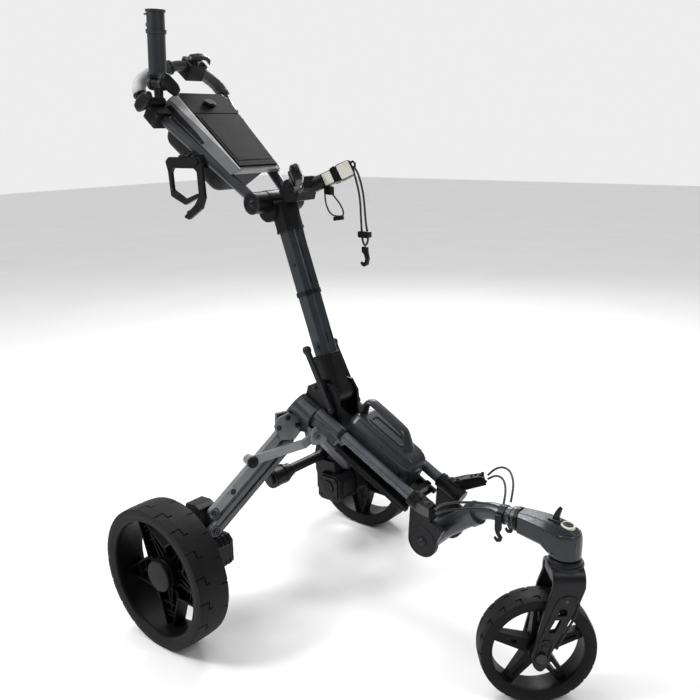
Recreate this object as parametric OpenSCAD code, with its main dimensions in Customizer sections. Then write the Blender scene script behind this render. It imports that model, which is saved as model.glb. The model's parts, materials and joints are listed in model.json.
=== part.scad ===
// Three-wheel golf cart with battery drive: folding frame, swivelling front wheel,
// two bag cradles, loop handle with console and an umbrella holder.
// +X is forward, +Y the cart's left, +Z up. The origin is on the floor, under the middle
// of the cart's outline. X positions inside the modules are counted from the rear axle.

/* [Wheels] */
// Radius of the rear wheels
rear_r = 135; // [125:1:145]
// Width of the rear tyres
rear_w = 66; // [56:1:70]
// Distance between the outer faces of the rear tyres
track = 660; // [654:1:666]
// Radius of the front wheel
front_r = 96; // [90:1:100]
// Width of the front tyre
front_w = 46; // [40:1:48]
// Distance from the rear axle to the front wheel's swivel axis
swivel_x = 635; // [625:1:645]
// How far the front axle trails the swivel axis
trail = 40; // [38:1:46]
// Angle the front wheel is turned to at rest
fork_turn = 40; // [0:1:45]

/* [Lower frame] */
// Downward slope of the twin lower tubes
tube_slope = 27; // [26:0.5:28]
// Diameter of the lower tubes
tube_d = 20; // [18:1:20]
// Half the distance between the lower tubes
tube_y = 45; // [44:1:46]

/* [Rear legs] */
// Angle of the legs to the side axis, seen from above
leg_sweep = 18; // [16:1:18]
// Width of the main leg bar
main_bar_w = 26; // [22:1:28]
// Width of the upper leg bar
upper_bar_w = 17; // [14:1:18]

/* [Upright] */
// Backward lean of the upright
lean = 19.7; // [18:0.1:21]
// Width of the upright's tube
upright_w = 39; // [36:1:40]

/* [Handle] */
// Slope of the handle above the horizontal
handle_slope = 38.5; // [36:0.5:40]
// Diameter of the handle tube
handle_d = 20; // [18:1:22]
// Outer diameter of the umbrella tube
umbrella_d = 33; // [32:1:36]
// Inner diameter of the umbrella tube
umbrella_bore = 27; // [25:1:28]

/* [Hidden] */

round_fn = 48;
fit = 0.06;                     // radial running clearance of a pin in its bore
rear_axle_x = -225;             // places the middle of the outline on the origin
wheel_y = track / 2 - rear_w / 2;
hub_x = 87;                     // where the two leg planes meet the middle plane

// Leg pivots in the leg plane: distance outwards, height
upper_root = [50, 356];
upper_tip = [207, 223];
lower_root = [50, 319];
lower_tip = [207, 186];
leg_angle = atan2(upper_root[1] - upper_tip[1], upper_tip[0] - upper_root[0]);
leg_pin_d = 10;
bar_t = 13;

tube_start = [207, 382];        // X and Z of the tubes' reference point
upright_pivot = [170, 436];     // X and Z
arm_pivot = [393, 220];         // X and Z
handle_pivot = [25, 785];       // X and Z
link_top = [130, 520];          // X and Z
link_foot = [186, 414];         // X and Z
link_y = 38;

// ---------- shared shapes ----------

function unit(v) = v / norm(v);

// Places children at the rear axle's X
module cart() {
    translate([rear_axle_x, 0, 0])
        children();
}

// A round bar from a to b
module rod(a, b, d) {
    v = b - a;
    translate(a)
        rotate([0, acos(v[2] / norm(v)), atan2(v[1], v[0])])
            cylinder(h = norm(v), d = d, $fn = round_fn);
}

// A cylinder along Y, centred at [x, z]
module barrel_y(x, z, y0, y1, d) {
    translate([x, y0, z])
        rotate([-90, 0, 0])
            cylinder(h = y1 - y0, d = d, $fn = round_fn);
}

// An outline in the XZ plane, extruded from y0 to y1
module slab_y(points, y0, y1) {
    translate([0, y1, 0])
        rotate([90, 0, 0])
            linear_extrude(height = y1 - y0)
                polygon(points);
}

// Copies children to the left and right
module both_sides() {
    children();
    mirror([0, 1, 0])
        children();
}

module on_side(right) {
    mirror([0, right ? 1 : 0, 0])
        children();
}

// Frame of the lower tubes: X along them, Z away from the floor
module tube_frame() {
    translate([tube_start[0], 0, tube_start[1]])
        rotate([0, tube_slope, 0])
            children();
}

// Frame of the left leg: X across its plane, Y outwards
module leg_frame() {
    translate([hub_x, 0, 0])
        rotate([0, 0, leg_sweep])
            children();
}

// Frame of the upright: Z along it
module upright_frame() {
    translate([upright_pivot[0], 0, upright_pivot[1]])
        rotate([0, -lean, 0])
            children();
}

// Frame of the handle: X down the handle, Z away from the console's face
module handle_frame() {
    translate([handle_pivot[0], 0, handle_pivot[1]])
        rotate([0, handle_slope, 0])
            children();
}

// A tube swept along a path of points, as one closed solid
function tangent(p, i) = unit(p[min(i + 1, len(p) - 1)] - p[max(i - 1, 0)]);
function across(n, t) = unit(n - (n * t) * t);
function side_normals(p, first) = [
    for (i = 0, n = across(first, tangent(p, 0)); i < len(p);
         i = i + 1, n = across(n, tangent(p, min(i, len(p) - 1)))) n
];
module sweep(path, d, sides, first = [0.3, 0.2, 1]) {
    normals = side_normals(path, first);
    rings = len(path);
    points = [
        for (i = [0 : rings - 1])
            for (k = [0 : sides - 1])
                let (t = tangent(path, i), a = 360 * k / sides)
                    path[i] + d / 2 * (cos(a) * normals[i] + sin(a) * cross(t, normals[i]))
    ];
    walls = [
        for (i = [0 : rings - 2])
            for (k = [0 : sides - 1])
                let (m = (k + 1) % sides)
                    [i * sides + k, i * sides + m, (i + 1) * sides + m, (i + 1) * sides + k]
    ];
    first_cap = [[for (k = [sides - 1 : -1 : 0]) k]];
    last_cap = [[for (k = [0 : sides - 1]) (rings - 1) * sides + k]];
    polyhedron(points = points, faces = [for (f = concat(walls, first_cap, last_cap))
        [for (k = [len(f) - 1 : -1 : 0]) f[k]]], convexity = 6);
}

// A smooth curve through hand-picked points
function curve_at(a, b, c, d, t) = 0.5 * (2 * b + (c - a) * t
    + (2 * a - 5 * b + 4 * c - d) * t * t + (3 * b - a - 3 * c + d) * t * t * t);
function smooth(p, steps) = concat(
    [for (i = [0 : len(p) - 2])
        for (s = [0 : steps - 1])
            curve_at(p[max(i - 1, 0)], p[i], p[i + 1], p[min(i + 2, len(p) - 1)], s / steps)],
    [p[len(p) - 1]]);

// ---------- hub and lower frame ----------

leg_barrel_a = [104, 32, 411];
leg_barrel_b = [143, 32, 390.7];
neck = [-52, 8, -32, -9];       // reach along and below the tubes

module hub_shape() {
    both_sides() {
        rod(leg_barrel_a, leg_barrel_b, 45);
        tube_frame()
            translate([neck[0], tube_y, 0])
                rotate([0, 90, 0])
                    cylinder(h = neck[1] - neck[0], d = 24, $fn = round_fn);
        leg_frame() {
            slab_leg([[16, 345], [16, 385], [60, 385], [66, 300], [34, 300]], -16, -bar_t / 2 - 1);
            leg_pin_pair(-15, bar_t / 2 + 1);
        }
    }
    tube_frame()
        translate([neck[0] - 8, -tube_y, neck[2]])
            cube([neck[1] - neck[0] + 3.5, 2 * tube_y, neck[3] - neck[2]]);
    slab_y([[58, 385], [84, 412], [112, 414], [160, 392], [176, 366], [120, 350], [60, 345]], -24, 24);
}

// An outline in a leg's plane, extruded across it
module slab_leg(points, x0, x1) {
    translate([x0, 0, 0])
        rotate([90, 0, 90])
            linear_extrude(height = x1 - x0)
                polygon(points);
}

module leg_pin_pair(x0, x1) {
    for (p = [upper_root, lower_root])
        translate([x0, p[0], p[1]])
            rotate([0, 90, 0])
                cylinder(h = x1 - x0, d = leg_pin_d, $fn = round_fn);
}

module hub_casting() {
    color([0.2, 0.2, 0.21])
        cart()
            difference() {
                hub_shape();
                arm_rest_cut();
                tube_frame()
                    both_sides()
                        translate([neck[0] + 20, tube_y, 0])
                            rotate([0, 90, 0])
                                cylinder(h = 60, d = tube_d, $fn = round_fn);
            }
}

// The notch in the hub's top that the upright's foot turns in
module arm_rest_cut() {
    barrel_y(upright_pivot[0], upright_pivot[1], -24, 24, 50);
}

yoke_y = [24.5, 31];

module upright_yoke() {
    color([0.13, 0.13, 0.14])
        cart()
            difference() {
                union() {
                    both_sides()
                        slab_y([[112, 412], [122, 448], [150, 462], [182, 460],
                            [196, 440], [200, 388], [150, 392]], yoke_y[0], yoke_y[1]);
                    barrel_y(upright_pivot[0], upright_pivot[1], -yoke_y[1], yoke_y[1], 12);
                }
                hub_shape();
            }
}

plate_outline = [[14, 372], [44, 390], [66, 384], [76, 368], [64, 338], [32, 334], [12, 354]];

module leg_plates() {
    color([0.42, 0.42, 0.43])
        cart()
            both_sides()
                difference() {
                    leg_frame()
                        slab_leg(plate_outline, bar_t / 2 + 1.2, bar_t / 2 + 5.2);
                    hub_shape();
                }
}

plate_screws = [[46, 380], [66, 364], [26, 361]];

// A cylinder along X
module screw_x(h, d) {
    rotate([0, 90, 0])
        cylinder(h = h, d = d, $fn = round_fn);
}

// A flat strip between two points, wide across the vertical
module strip(a, b, w, t) {
    v = b - a;
    translate(a)
        rotate([0, -asin(v[2] / norm(v)), atan2(v[1], v[0])])
            translate([0, -t / 2, -w / 2])
                cube([norm(v), t, w]);
}

module frame_screws() {
    color([0.1, 0.1, 0.1])
        cart() {
            both_sides()
                leg_frame()
                    for (p = plate_screws)
                        translate([bar_t / 2 + 5.2, p[0], p[1]])
                            rotate([0, 90, 0])
                                cylinder(h = 3, d = 9, $fn = round_fn);
            both_sides()
                barrel_y(140, 447, yoke_y[1], yoke_y[1] + 4, 12);
            barrel_y(arm_pivot[0], arm_pivot[1], -pod_y[1] - 4, pod_y[1] + 4, arm_pin_d);
            both_sides()
                barrel_y(arm_pivot[0], arm_pivot[1], pod_y[1], pod_y[1] + 4, 18);
            both_sides()
                for (x = [-16, 10])
                    cradle_lower_frame()
                        translate([x, 0, 9])
                            cylinder(h = 3, d = 8, $fn = round_fn);
        }
}

tube_end = 234;
tube_wall = 2;

module lower_tubes() {
    color([0.3, 0.3, 0.31])
        cart()
            both_sides()
                tube_frame()
                    translate([neck[0] + 20, tube_y, 0])
                        rotate([0, 90, 0])
                            difference() {
                                cylinder(h = tube_end - neck[0] - 20, d = tube_d, $fn = round_fn);
                                translate([0, 0, tube_wall])
                                    cylinder(h = tube_end - neck[0] - 20 - 2 * tube_wall,
                                        d = tube_d - 2 * tube_wall, $fn = round_fn);
                            }
}

rail = [8.5, 188, -34, -26];       // along and below the tubes

module side_rails() {
    color([0.12, 0.12, 0.12])
        cart()
            both_sides()
                tube_frame()
                    translate([rail[0], tube_y - 4, rail[2]])
                        cube([rail[1] - rail[0], 8, rail[3] - rail[2]]);
}

clamp_start = 183;

module tube_clamps() {
    color([0.16, 0.16, 0.17])
        cart()
            both_sides()
                tube_frame()
                    translate([clamp_start, tube_y, 0])
                        rotate([0, 90, 0])
                            difference() {
                                cylinder(h = tube_end + 3 - clamp_start, d = 28, $fn = round_fn);
                                translate([0, 0, -1])
                                    cylinder(h = tube_end + 1 - clamp_start, d = tube_d, $fn = round_fn);
                            }
}

// Cross-link pivots in the leg's own frame
link_pin = [70, 20.5, 358];
link_end = [12, 128, 311];
link_t = 7;

module link_brackets() {
    color([0.55, 0.55, 0.56])
        cart()
            both_sides()
                difference() {
                    leg_frame() {
                        translate([link_pin[0] - 18, -2, link_pin[2] - 11])
                            cube([14, link_pin[1] + 8, 24]);
                        translate([link_pin[0] - 10, link_pin[1], link_pin[2]])
                            screw_x(18, leg_pin_d);
                        translate([link_pin[0] + link_t / 2 + 1, link_pin[1], link_pin[2]])
                            screw_x(5, 16);
                    }
                    hub_shape();
                }
}

module battery_tray() {
    color([0.09, 0.09, 0.09])
        cart()
            tube_frame()
                difference() {
                    union() {
                        translate([12, -49, -38])
                            cube([170, 98, 4]);
                        translate([168, -33, -34])
                            cube([10, 66, 24]);
                    }
                    for (s = [45, 90, 135])
                        translate([s, 0, -39])
                            cylinder(h = 6, d = 22, $fn = round_fn);
                }
}

pack_outline = [[4, -33.5], [146, -33.5], [154, -26], [154, 20], [144, 36], [20, 40], [4, 30]];
arch_outer = [[6, 34], [0, 52], [12, 70], [80, 67], [128, 46], [138, 34]];
arch_inner = [[20, 43], [22, 58], [76, 55], [108, 41]];

module battery_pack() {
    color([0.1, 0.1, 0.1])
        cart()
            tube_frame() {
                intersection() {
                    slab_y(pack_outline, -32, 32);
                    translate([-20, 0, 0])
                        rotate([90, 0, 90])
                            linear_extrude(height = 220)
                                polygon([[-24, -34], [24, -34], [32, -26], [32, 28], [22, 42],
                                    [-22, 42], [-32, 28], [-32, -26]]);
                }
                difference() {
                    slab_y(arch_outer, -11, 11);
                    slab_y(arch_inner, -12, 12);
                }
            }
}

pod_y = [38, 46];
pod_r = 29;
arm_pin_d = 12;

module pod_plates() {
    color([0.13, 0.13, 0.14])
        cart()
            both_sides()
                difference() {
                    union() {
                        barrel_y(arm_pivot[0], arm_pivot[1], pod_y[0], pod_y[1], 2 * pod_r);
                        slab_y([[364, 220], [368, 284], [374, 290], [436, 258], [434, 250], [421.5, 224],
                            [arm_pivot[0], 210]], pod_y[0], pod_y[1]);
                    }
                    barrel_y(arm_pivot[0], arm_pivot[1], 0, 60, arm_pin_d);
                    tube_frame()
                        translate([clamp_start - 1, tube_y, 0])
                            rotate([0, 90, 0])
                                cylinder(h = 80, d = 28.2, $fn = round_fn);
                }
}

// Frame of the left lower cradle arm: X along it, Z up out of it
module cradle_lower_frame() {
    translate([416, 64, 299])
        rotate([0, -13, 36])
            children();
}

module lower_cradle() {
    color([0.1, 0.1, 0.1])
        cart()
            both_sides()
                difference() {
                    cradle_lower_frame()
                        translate([0, 0, -2])
                            rotate([90, 0, 90])
                                linear_extrude(height = 64, center = true, scale = 0.8)
                                    polygon([[-13, -9], [13, -9], [11, 9], [-11, 9]]);
                    tube_frame()
                        translate([clamp_start - 1, tube_y, 0])
                            rotate([0, 90, 0])
                                cylinder(h = 80, d = 28.2, $fn = round_fn);
                }
}

// ---------- rear legs ----------

// A flat bar between two pins, with a bore at each end
module leg_bar(root, tip, w, t) {
    a = atan2(tip[1] - root[1], tip[0] - root[0]);
    len = norm(tip - root);
    translate([0, root[0], root[1]])
        rotate([a, 0, 0])
            difference() {
                union() {
                    translate([-t / 2, 0, -w / 2])
                        cube([t, len, w]);
                    for (y = [0, len])
                        translate([-t / 2, y, 0])
                            rotate([0, 90, 0])
                                cylinder(h = t, d = w, $fn = round_fn);
                }
                for (y = [0, len])
                    translate([-t, y, 0])
                        rotate([0, 90, 0])
                            cylinder(h = 2 * t, r = leg_pin_d / 2 + fit, $fn = round_fn);
            }
}

module leg_main(right) {
    color([0.38, 0.38, 0.39])
        cart()
            on_side(right)
                leg_frame()
                    leg_bar(lower_root, lower_tip, main_bar_w, bar_t);
}

boss_at = [[153, 2], [89, 14]];   // plain boss and link boss: along and across the bar

module leg_upper(right) {
    color([0.44, 0.44, 0.45])
        cart()
            on_side(right)
                leg_frame() {
                    leg_bar(upper_root, upper_tip, upper_bar_w, bar_t);
                    translate([0, upper_root[0], upper_root[1]])
                        rotate([-leg_angle, 0, 0]) {
                            translate([bar_t / 2, boss_at[0][0], boss_at[0][1]])
                                screw_x(5, 17);
                            translate([-bar_t / 2, boss_at[1][0], boss_at[1][1]])
                                screw_x(bar_t, 20);
                        }
                }
}

module cross_link(right) {
    color([0.36, 0.36, 0.37])
        cart()
            on_side(right)
                leg_frame()
                    difference() {
                        union() {
                            translate([link_pin[0] - link_t / 2, link_pin[1], link_pin[2]])
                                screw_x(link_t, 18);
                            translate([link_end[0] - link_t / 2, link_end[1], link_end[2]])
                                screw_x(link_t, 20);
                            strip(link_pin, link_pin + [0, 28, -13], 17, link_t);
                            strip(link_pin + [0, 25, -11.6], link_end - [0, 3, -1.4], 17, 6);
                        }
                        translate([link_pin[0] - 20, link_pin[1], link_pin[2]])
                            screw_x(60, leg_pin_d + 2 * fit);
                    }
}

drive_y = [160, 262];             // reach of the drive unit along its axle
axle_d = 16;

module drive(right) {
    color([0.08, 0.08, 0.08])
        cart()
            on_side(right) {
                barrel_y(0, rear_r, 213, drive_y[1], 84);
                barrel_y(0, rear_r, drive_y[1] - 1, track / 2 - 14, axle_d);
                // motor housing, its mounting flange, and the lug that carries the leg pins
                slab_y([[-30, 108], [-30, 152], [-20, 164], [22, 164], [32, 154], [32, 110], [24, 102],
                    [-22, 102]], drive_y[0], 214);
                slab_y([[-42, 120], [-42, 191], [10, 191], [12, 160], [36, 150], [36, 120]], 170, 240);
                slab_y([[-42, 190], [-42, 206], [-30, 234], [-4, 236], [8, 230], [9, 200], [9, 190]],
                    178, 216);
                leg_frame()
                    for (p = [upper_tip, lower_tip])
                        translate([-18, p[0], p[1]])
                            rotate([0, 90, 0])
                                cylinder(h = 18 + bar_t / 2 + 1, d = leg_pin_d, $fn = round_fn);
            }
}

// The brake's cross tube and end unit, on the left drive only
module brake_unit() {
    color([0.14, 0.14, 0.15])
        cart() {
            barrel_y(-26, 204, 58, 178, 22);
            barrel_y(-26, 204, 46, 60, 32);
            barrel_y(-26, 202, 6, 47, 40);
        }
}

// ---------- rear wheels ----------

rim_r = rear_r - 20;
spokes = 5;

// Outline of the rear rim's star: a valley and two tip corners for each spoke
star_valley = 44;
star_tip = 10;
function turned(p, a) = [p[0] * cos(a) - p[1] * sin(a), p[0] * sin(a) + p[1] * cos(a)];
star_outline = [
    for (k = [0 : spokes - 1])
        let (a = 360 / spokes * k)
            for (p = [turned([star_valley, 0], -180 / spokes), [rim_r - 3, -star_tip], [rim_r - 3, star_tip]])
                turned(p, a)
];

// One tapering spoke, wide at the hub
module spoke(inner, outer, root_w, tip_w, w) {
    rotate([90, 0, 0])
        linear_extrude(height = w, center = true)
            polygon([[inner, -root_w / 2], [outer, -tip_w / 2], [outer, tip_w / 2], [inner, root_w / 2]]);
}

module rear_rim(right) {
    color([0.07, 0.07, 0.07])
        cart()
            on_side(right)
                translate([0, wheel_y, rear_r])
                    rotate([90, 0, 0])
                        difference() {
                            union() {
                                rotate_extrude($fn = 96)
                                    polygon([[rim_r - 6, -rear_w / 2 + 3], [rim_r, -rear_w / 2 + 3],
                                        [rim_r, rear_w / 2 - 3], [rim_r - 6, rear_w / 2 - 3]]);
                                translate([0, 0, -rear_w / 2 + 4])
                                    cylinder(h = rear_w - 8, d = 62, $fn = round_fn);
                                rotate([0, 0, 90])
                                    linear_extrude(height = 26, center = true)
                                        polygon(star_outline);
                            }
                            translate([0, 0, -rear_w])
                                cylinder(h = 2 * rear_w, d = axle_d + 2 * fit, $fn = round_fn);
                        }
}

module tyre_ring(r, inner, w, crown) {
    rotate_extrude($fn = 96)
        polygon([[inner, -w / 2 + 2], [r - 5, -w / 2], [r - crown, -w / 2 + 5], [r, -w / 2 + 14],
            [r, w / 2 - 14], [r - crown, w / 2 - 5], [r - 5, w / 2], [inner, w / 2 - 2]]);
}

module rear_tyre(right) {
    color([0.15, 0.15, 0.14])
        cart()
            on_side(right)
                translate([0, wheel_y, rear_r])
                    rotate([90, 0, 0])
                        tyre_ring(rear_r, rim_r, rear_w, 1);
}

// ---------- front arm and wheel ----------

arm_path = [[arm_pivot[0], 0, arm_pivot[1]], [420, 0, 241], [446, 0, 261], [469, 0, 278],
    [482, 0, 286], [496, 0, 292], [512, 0, 294.5], [530, 0, 295], [554, 0, 295]];
head_z = [257, 300];
steer_d = 20;
lock_pivot = [615, 305];
lock_pin_d = 4;

module front_arm() {
    color([0.2, 0.2, 0.21])
        cart() {
            difference() {
                union() {
                    barrel_y(arm_pivot[0], arm_pivot[1], -37.5, 37.5, 44);
                    rod(arm_path[0], arm_path[3], 36);
                }
                barrel_y(arm_pivot[0], arm_pivot[1], -50, 50, arm_pin_d + 2 * fit);
            }
            sweep(smooth([for (i = [2 : len(arm_path) - 1]) arm_path[i]], 3), 29, 24);
            rod([463, 0, 273.5], [475, 0, 282.5], 42);
            rod([543, 0, 295], [556, 0, 295], 36);
        }
}

module steering_head() {
    color([0.24, 0.24, 0.25])
        cart() {
            difference() {
                union() {
                    intersection() {
                        slab_y([[556, 274], [556, 312], [600, 313], [636, 309], [652, 303], [658, 294],
                            [658, 268], [652, 257], [612, 257], [602, 270]], -30, 30);
                        translate([0, 0, 250])
                            linear_extrude(height = 100)
                                polygon([[556, -18], [556, 18], [600, 23], [635, 24], [650, 18], [658, 8],
                                    [658, -8], [650, -18], [635, -24], [600, -23]]);
                    }
                    translate([swivel_x, 0, head_z[0]])
                        cylinder(h = 45, d = 48, $fn = round_fn);
                }
                translate([swivel_x, 0, head_z[0] - 1])
                    cylinder(h = 41, d = steer_d + 2 * fit, $fn = round_fn);
                translate([608, -4.5, 298])
                    cube([16, 9, 30]);
            }
            barrel_y(lock_pivot[0], lock_pivot[1], -7, 7, lock_pin_d);
        }
}

module swivel_lock() {
    color([0.1, 0.1, 0.1])
        cart()
            difference() {
                slab_y([[610.5, 300], [619.5, 300], [620, 304], [621, 318], [625, 334], [620, 337],
                    [614, 326], [610, 314], [610, 304]], -4, 4);
                barrel_y(lock_pivot[0], lock_pivot[1], -5, 5, lock_pin_d + 2 * fit);
            }
}

// The fork's own frame: centred on the swivel axis and turned with the wheel
module fork_frame() {
    translate([swivel_x, 0, 0])
        rotate([0, 0, fork_turn])
            children();
}

leg_gap = front_w / 2 + 4;
fork_leg_t = 8;

module fork() {
    color([0.13, 0.13, 0.14])
        cart()
            fork_frame()
                difference() {
                    union() {
                        translate([0, 0, 210])
                            cylinder(h = head_z[0] + 39 - 210, d = steer_d, $fn = round_fn);
                        translate([0, 0, 212])
                            cylinder(h = head_z[0] - 0.5 - 212, d = 54, $fn = round_fn);
                        slab_y([[-30, 207], [-24, 244], [22, 244], [24, 222], [12, 207]],
                            -leg_gap - fork_leg_t, leg_gap + fork_leg_t);
                        both_sides()
                            slab_y([[-30, 210], [-20, 232], [18, 232], [24, 206], [-trail + 17, 96],
                                [-trail + 5, 72], [-trail - 7, 70], [-trail - 15, 84], [-trail - 15, 112]],
                                leg_gap, leg_gap + fork_leg_t);
                    }
                    both_sides() {
                        barrel_y(-trail, front_r, 0, 60, 12);
                        barrel_y(-trail - 2, front_r - 19, 0, 60, 9);
                        slab_y([[-22, 180], [-6, 192], [-24, 146], [-34, 146]], leg_gap - 1,
                            leg_gap + fork_leg_t + 1);
                    }
                }
}

module fork_axle() {
    color([0.5, 0.5, 0.5])
        cart()
            fork_frame() {
                barrel_y(-trail, front_r, -leg_gap - fork_leg_t - 1, leg_gap + fork_leg_t + 1, 12);
                both_sides()
                    barrel_y(-trail, front_r, leg_gap + fork_leg_t, leg_gap + fork_leg_t + 5, 18);
            }
}

front_rim_r = front_r - 16;

module front_rim() {
    color([0.07, 0.07, 0.07])
        cart()
            fork_frame()
                translate([-trail, 0, front_r])
                    rotate([90, 0, 0])
                        difference() {
                            union() {
                                rotate_extrude($fn = 96)
                                    polygon([[front_rim_r - 6, -front_w / 2 + 4],
                                        [front_rim_r, -front_w / 2 + 4],
                                        [front_rim_r, front_w / 2 - 4], [front_rim_r - 6, front_w / 2 - 4]]);
                                translate([0, 0, -leg_gap + 0.5])
                                    cylinder(h = 2 * leg_gap - 1, d = 34, $fn = round_fn);
                                for (k = [0 : spokes - 1])
                                    rotate([0, 0, 90 + 360 / spokes * k])
                                        rotate([-90, 0, 0])
                                            for (s = [-1, 1])
                                                rotate([0, s * 5, 0])
                                                    spoke(12, front_rim_r - 3, 12, 8, 26);
                            }
                            translate([0, 0, -60])
                                cylinder(h = 120, d = 12 + 2 * fit, $fn = round_fn);
                        }
}

module front_tyre() {
    color([0.15, 0.15, 0.14])
        cart()
            fork_frame()
                translate([-trail, 0, front_r])
                    rotate([90, 0, 0])
                        tyre_ring(front_r, front_rim_r, front_w, 1);
}

// ---------- upright ----------

// Square section with cut corners
function octagon(w, c) = [[-w / 2 + c, -w / 2], [w / 2 - c, -w / 2], [w / 2, -w / 2 + c],
    [w / 2, w / 2 - c], [w / 2 - c, w / 2], [-w / 2 + c, w / 2], [-w / 2, w / 2 - c], [-w / 2, -w / 2 + c]];

sleeve_w = upright_w + 5;
sleeve_top = 76;
head_bottom = 314;
head_top = 368;
tube_top = 348;

module upright_tube() {
    color([0.32, 0.32, 0.33])
        cart()
            upright_frame()
                translate([0, 0, 40])
                    difference() {
                        linear_extrude(height = tube_top - 40)
                            polygon(octagon(upright_w, 9));
                        translate([0, 0, -1])
                            linear_extrude(height = head_top)
                                polygon(octagon(upright_w - 5, 8));
                    }
}

module lower_sleeve() {
    color([0.12, 0.12, 0.13])
        cart()
            upright_frame()
                difference() {
                    union() {
                        barrel_y(0, 0, -23, 23, sleeve_w - 2);
                        linear_extrude(height = sleeve_top)
                            polygon(octagon(sleeve_w, 9));
                    }
                    barrel_y(0, 0, -50, 50, 12 + 2 * fit);
                    translate([0, 0, 40])
                        linear_extrude(height = 60)
                            polygon(octagon(upright_w, 9));
                    translate([0, 0, 24])
                        linear_extrude(height = 17)
                            polygon(octagon(upright_w - 8, 9));
                }
}

hinge_y = 26;                     // half length of the fixed hinge knuckle
hinge_d = 42;

module hinge_head() {
    color([0.1, 0.1, 0.11])
        cart() {
            difference() {
                union() {
                    upright_frame()
                        translate([0, 0, head_bottom])
                            linear_extrude(height = head_top - head_bottom)
                                polygon(octagon(sleeve_w, 9));
                    barrel_y(handle_pivot[0], handle_pivot[1], -hinge_y, hinge_y, hinge_d);
                    barrel_y(handle_pivot[0] + 5, handle_pivot[1] - 14, -hinge_y, 12, 46);
                }
                upright_frame()
                    linear_extrude(height = tube_top)
                        polygon(octagon(upright_w, 9));
                barrel_y(handle_pivot[0], handle_pivot[1], -hinge_y - 1, hinge_y + 1, 14 + 2 * fit);
            }
        }
}

module side_link(right) {
    color([0.25, 0.25, 0.26])
        cart()
            on_side(right) {
                d = link_foot - link_top;
                len = norm(d);
                translate([link_top[0], link_y, link_top[1]])
                    rotate([0, atan2(d[0], d[1]), 0])
                        difference() {
                            union() {
                                translate([-5, -3.5, 0])
                                    cube([10, 7, len]);
                                barrel_y(0, 0, -3.5, 3.5, 16);
                                barrel_y(0, len, -3.5, 3.5, 12);
                            }
                            barrel_y(0, 0, -10, 10, 8 + 2 * fit);
                        }
            }
}

// ---------- upper cradle ----------

module cradle_block() {
    color([0.07, 0.07, 0.07])
        cart()
            difference() {
                union() {
                    slab_y([[76, 786], [60, 806], [76, 826], [104, 832], [112, 812], [104, 790]], -24, 24);
                    both_sides()
                        rod([115, 34, 822], [95, 14, 810], 26);
                }
                hinge_shadow();
            }
}

// The volume that the hinge head fills, to cut the block back to it
module hinge_shadow() {
    upright_frame()
        linear_extrude(height = head_top + 8)
            polygon(octagon(sleeve_w + 0.2, 9));
}

// Frame of the left upper arm: X along it, Z out of its padded face
module cradle_upper_frame() {
    translate([104, 24, 815])
        rotate([0, -24, 43])
            rotate([72, 0, 0])
                children();
}

module cradle_arms() {
    color([0.17, 0.17, 0.18])
        cart()
            both_sides()
                cradle_upper_frame()
                    translate([20, -12, -10])
                        cube([55.5, 26, 12]);
}

pads = [[26, 14], [50, 22]];      // start along the arm, length

module cradle_pads() {
    color([0.62, 0.61, 0.58])
        cart()
            both_sides()
                cradle_upper_frame()
                    for (p = pads)
                        translate([p[0], -11, 2])
                            cube([p[1], 24, 3]);
}

cable_path = [[86, -5, 783], [88, -5, 775], [91, -5, 758], [97, -5, 738],
    [104, -5, 715], [113, -5, 690], [122, -5, 665], [131, -5, 640], [136, -5, 626]];

module upright_cable() {
    color([0.05, 0.05, 0.05])
        cart()
            sweep(smooth(cable_path, 2), 5, 8);
}

// ---------- handle ----------

half_loop = [[-12, 48, 0], [-60, 57, 0], [-120, 69, 0], [-180, 81, 0], [-235, 92, 0], [-280, 102, 1],
    [-304, 106, 4], [-321, 104, 11], [-333, 94, 19], [-339, 78, 27], [-341, 60, 35], [-341, 38, 45],
    [-341, 14, 52]];
half_count = len(half_loop);
other_half = [for (i = [half_count - 1 : -1 : 0]) [half_loop[i][0], -half_loop[i][1], half_loop[i][2]]];
loop_path = concat(half_loop, other_half);

// The handle's loop as a solid bar
module loop_bar(d) {
    handle_frame()
        sweep(smooth(loop_path, 2), d, 16);
}

module handle_tube() {
    color([0.3, 0.3, 0.31])
        cart()
            loop_bar(handle_d);
}

module hinge_barrel() {
    color([0.12, 0.12, 0.13])
        cart() {
            barrel_y(handle_pivot[0], handle_pivot[1], -60, 60, 14);
            both_sides()
                difference() {
                    barrel_y(handle_pivot[0], handle_pivot[1], hinge_y + 0.4, 60, 40);
                    loop_bar(handle_d + 0.1);
                }
        }
}

module handle_grip() {
    color([0.45, 0.44, 0.42])
        cart()
            handle_frame()
                difference() {
                    sweep([for (i = [13 : 37]) smooth(loop_path, 2)[i]], 27, 16);
                    sweep(smooth(loop_path, 2), handle_d + 0.1, 16);
                    translate([-400, -2, 0])
                        cube([100, 50, 100]);
                }
}

module control_pod() {
    color([0.08, 0.08, 0.08])
        cart()
            handle_frame()
                difference() {
                    translate([-356, 2, 30])
                        cube([32, 42, 35]);
                    sweep(smooth(loop_path, 2), handle_d + 0.1, 16);
                }
}

module brake_lever() {
    color([0.12, 0.12, 0.12])
        cart()
            handle_frame()
                translate([-350, 0, 66])
                    rotate([90, 0, 90])
                        linear_extrude(height = 14)
                            polygon([[8, 0], [30, 0], [38, 4], [52, 2], [62, -8], [58, 6], [46, 12],
                                [30, 12], [10, 8]]);
}

// Console shell: near and far ends as [distance up the handle, half width], bottom then top
shell_bottom = [[68, 64], [272, 84]];
shell_top = [[60, 50], [274, 60]];
shell_z = [10.3, 25.8, 36.6];

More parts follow.
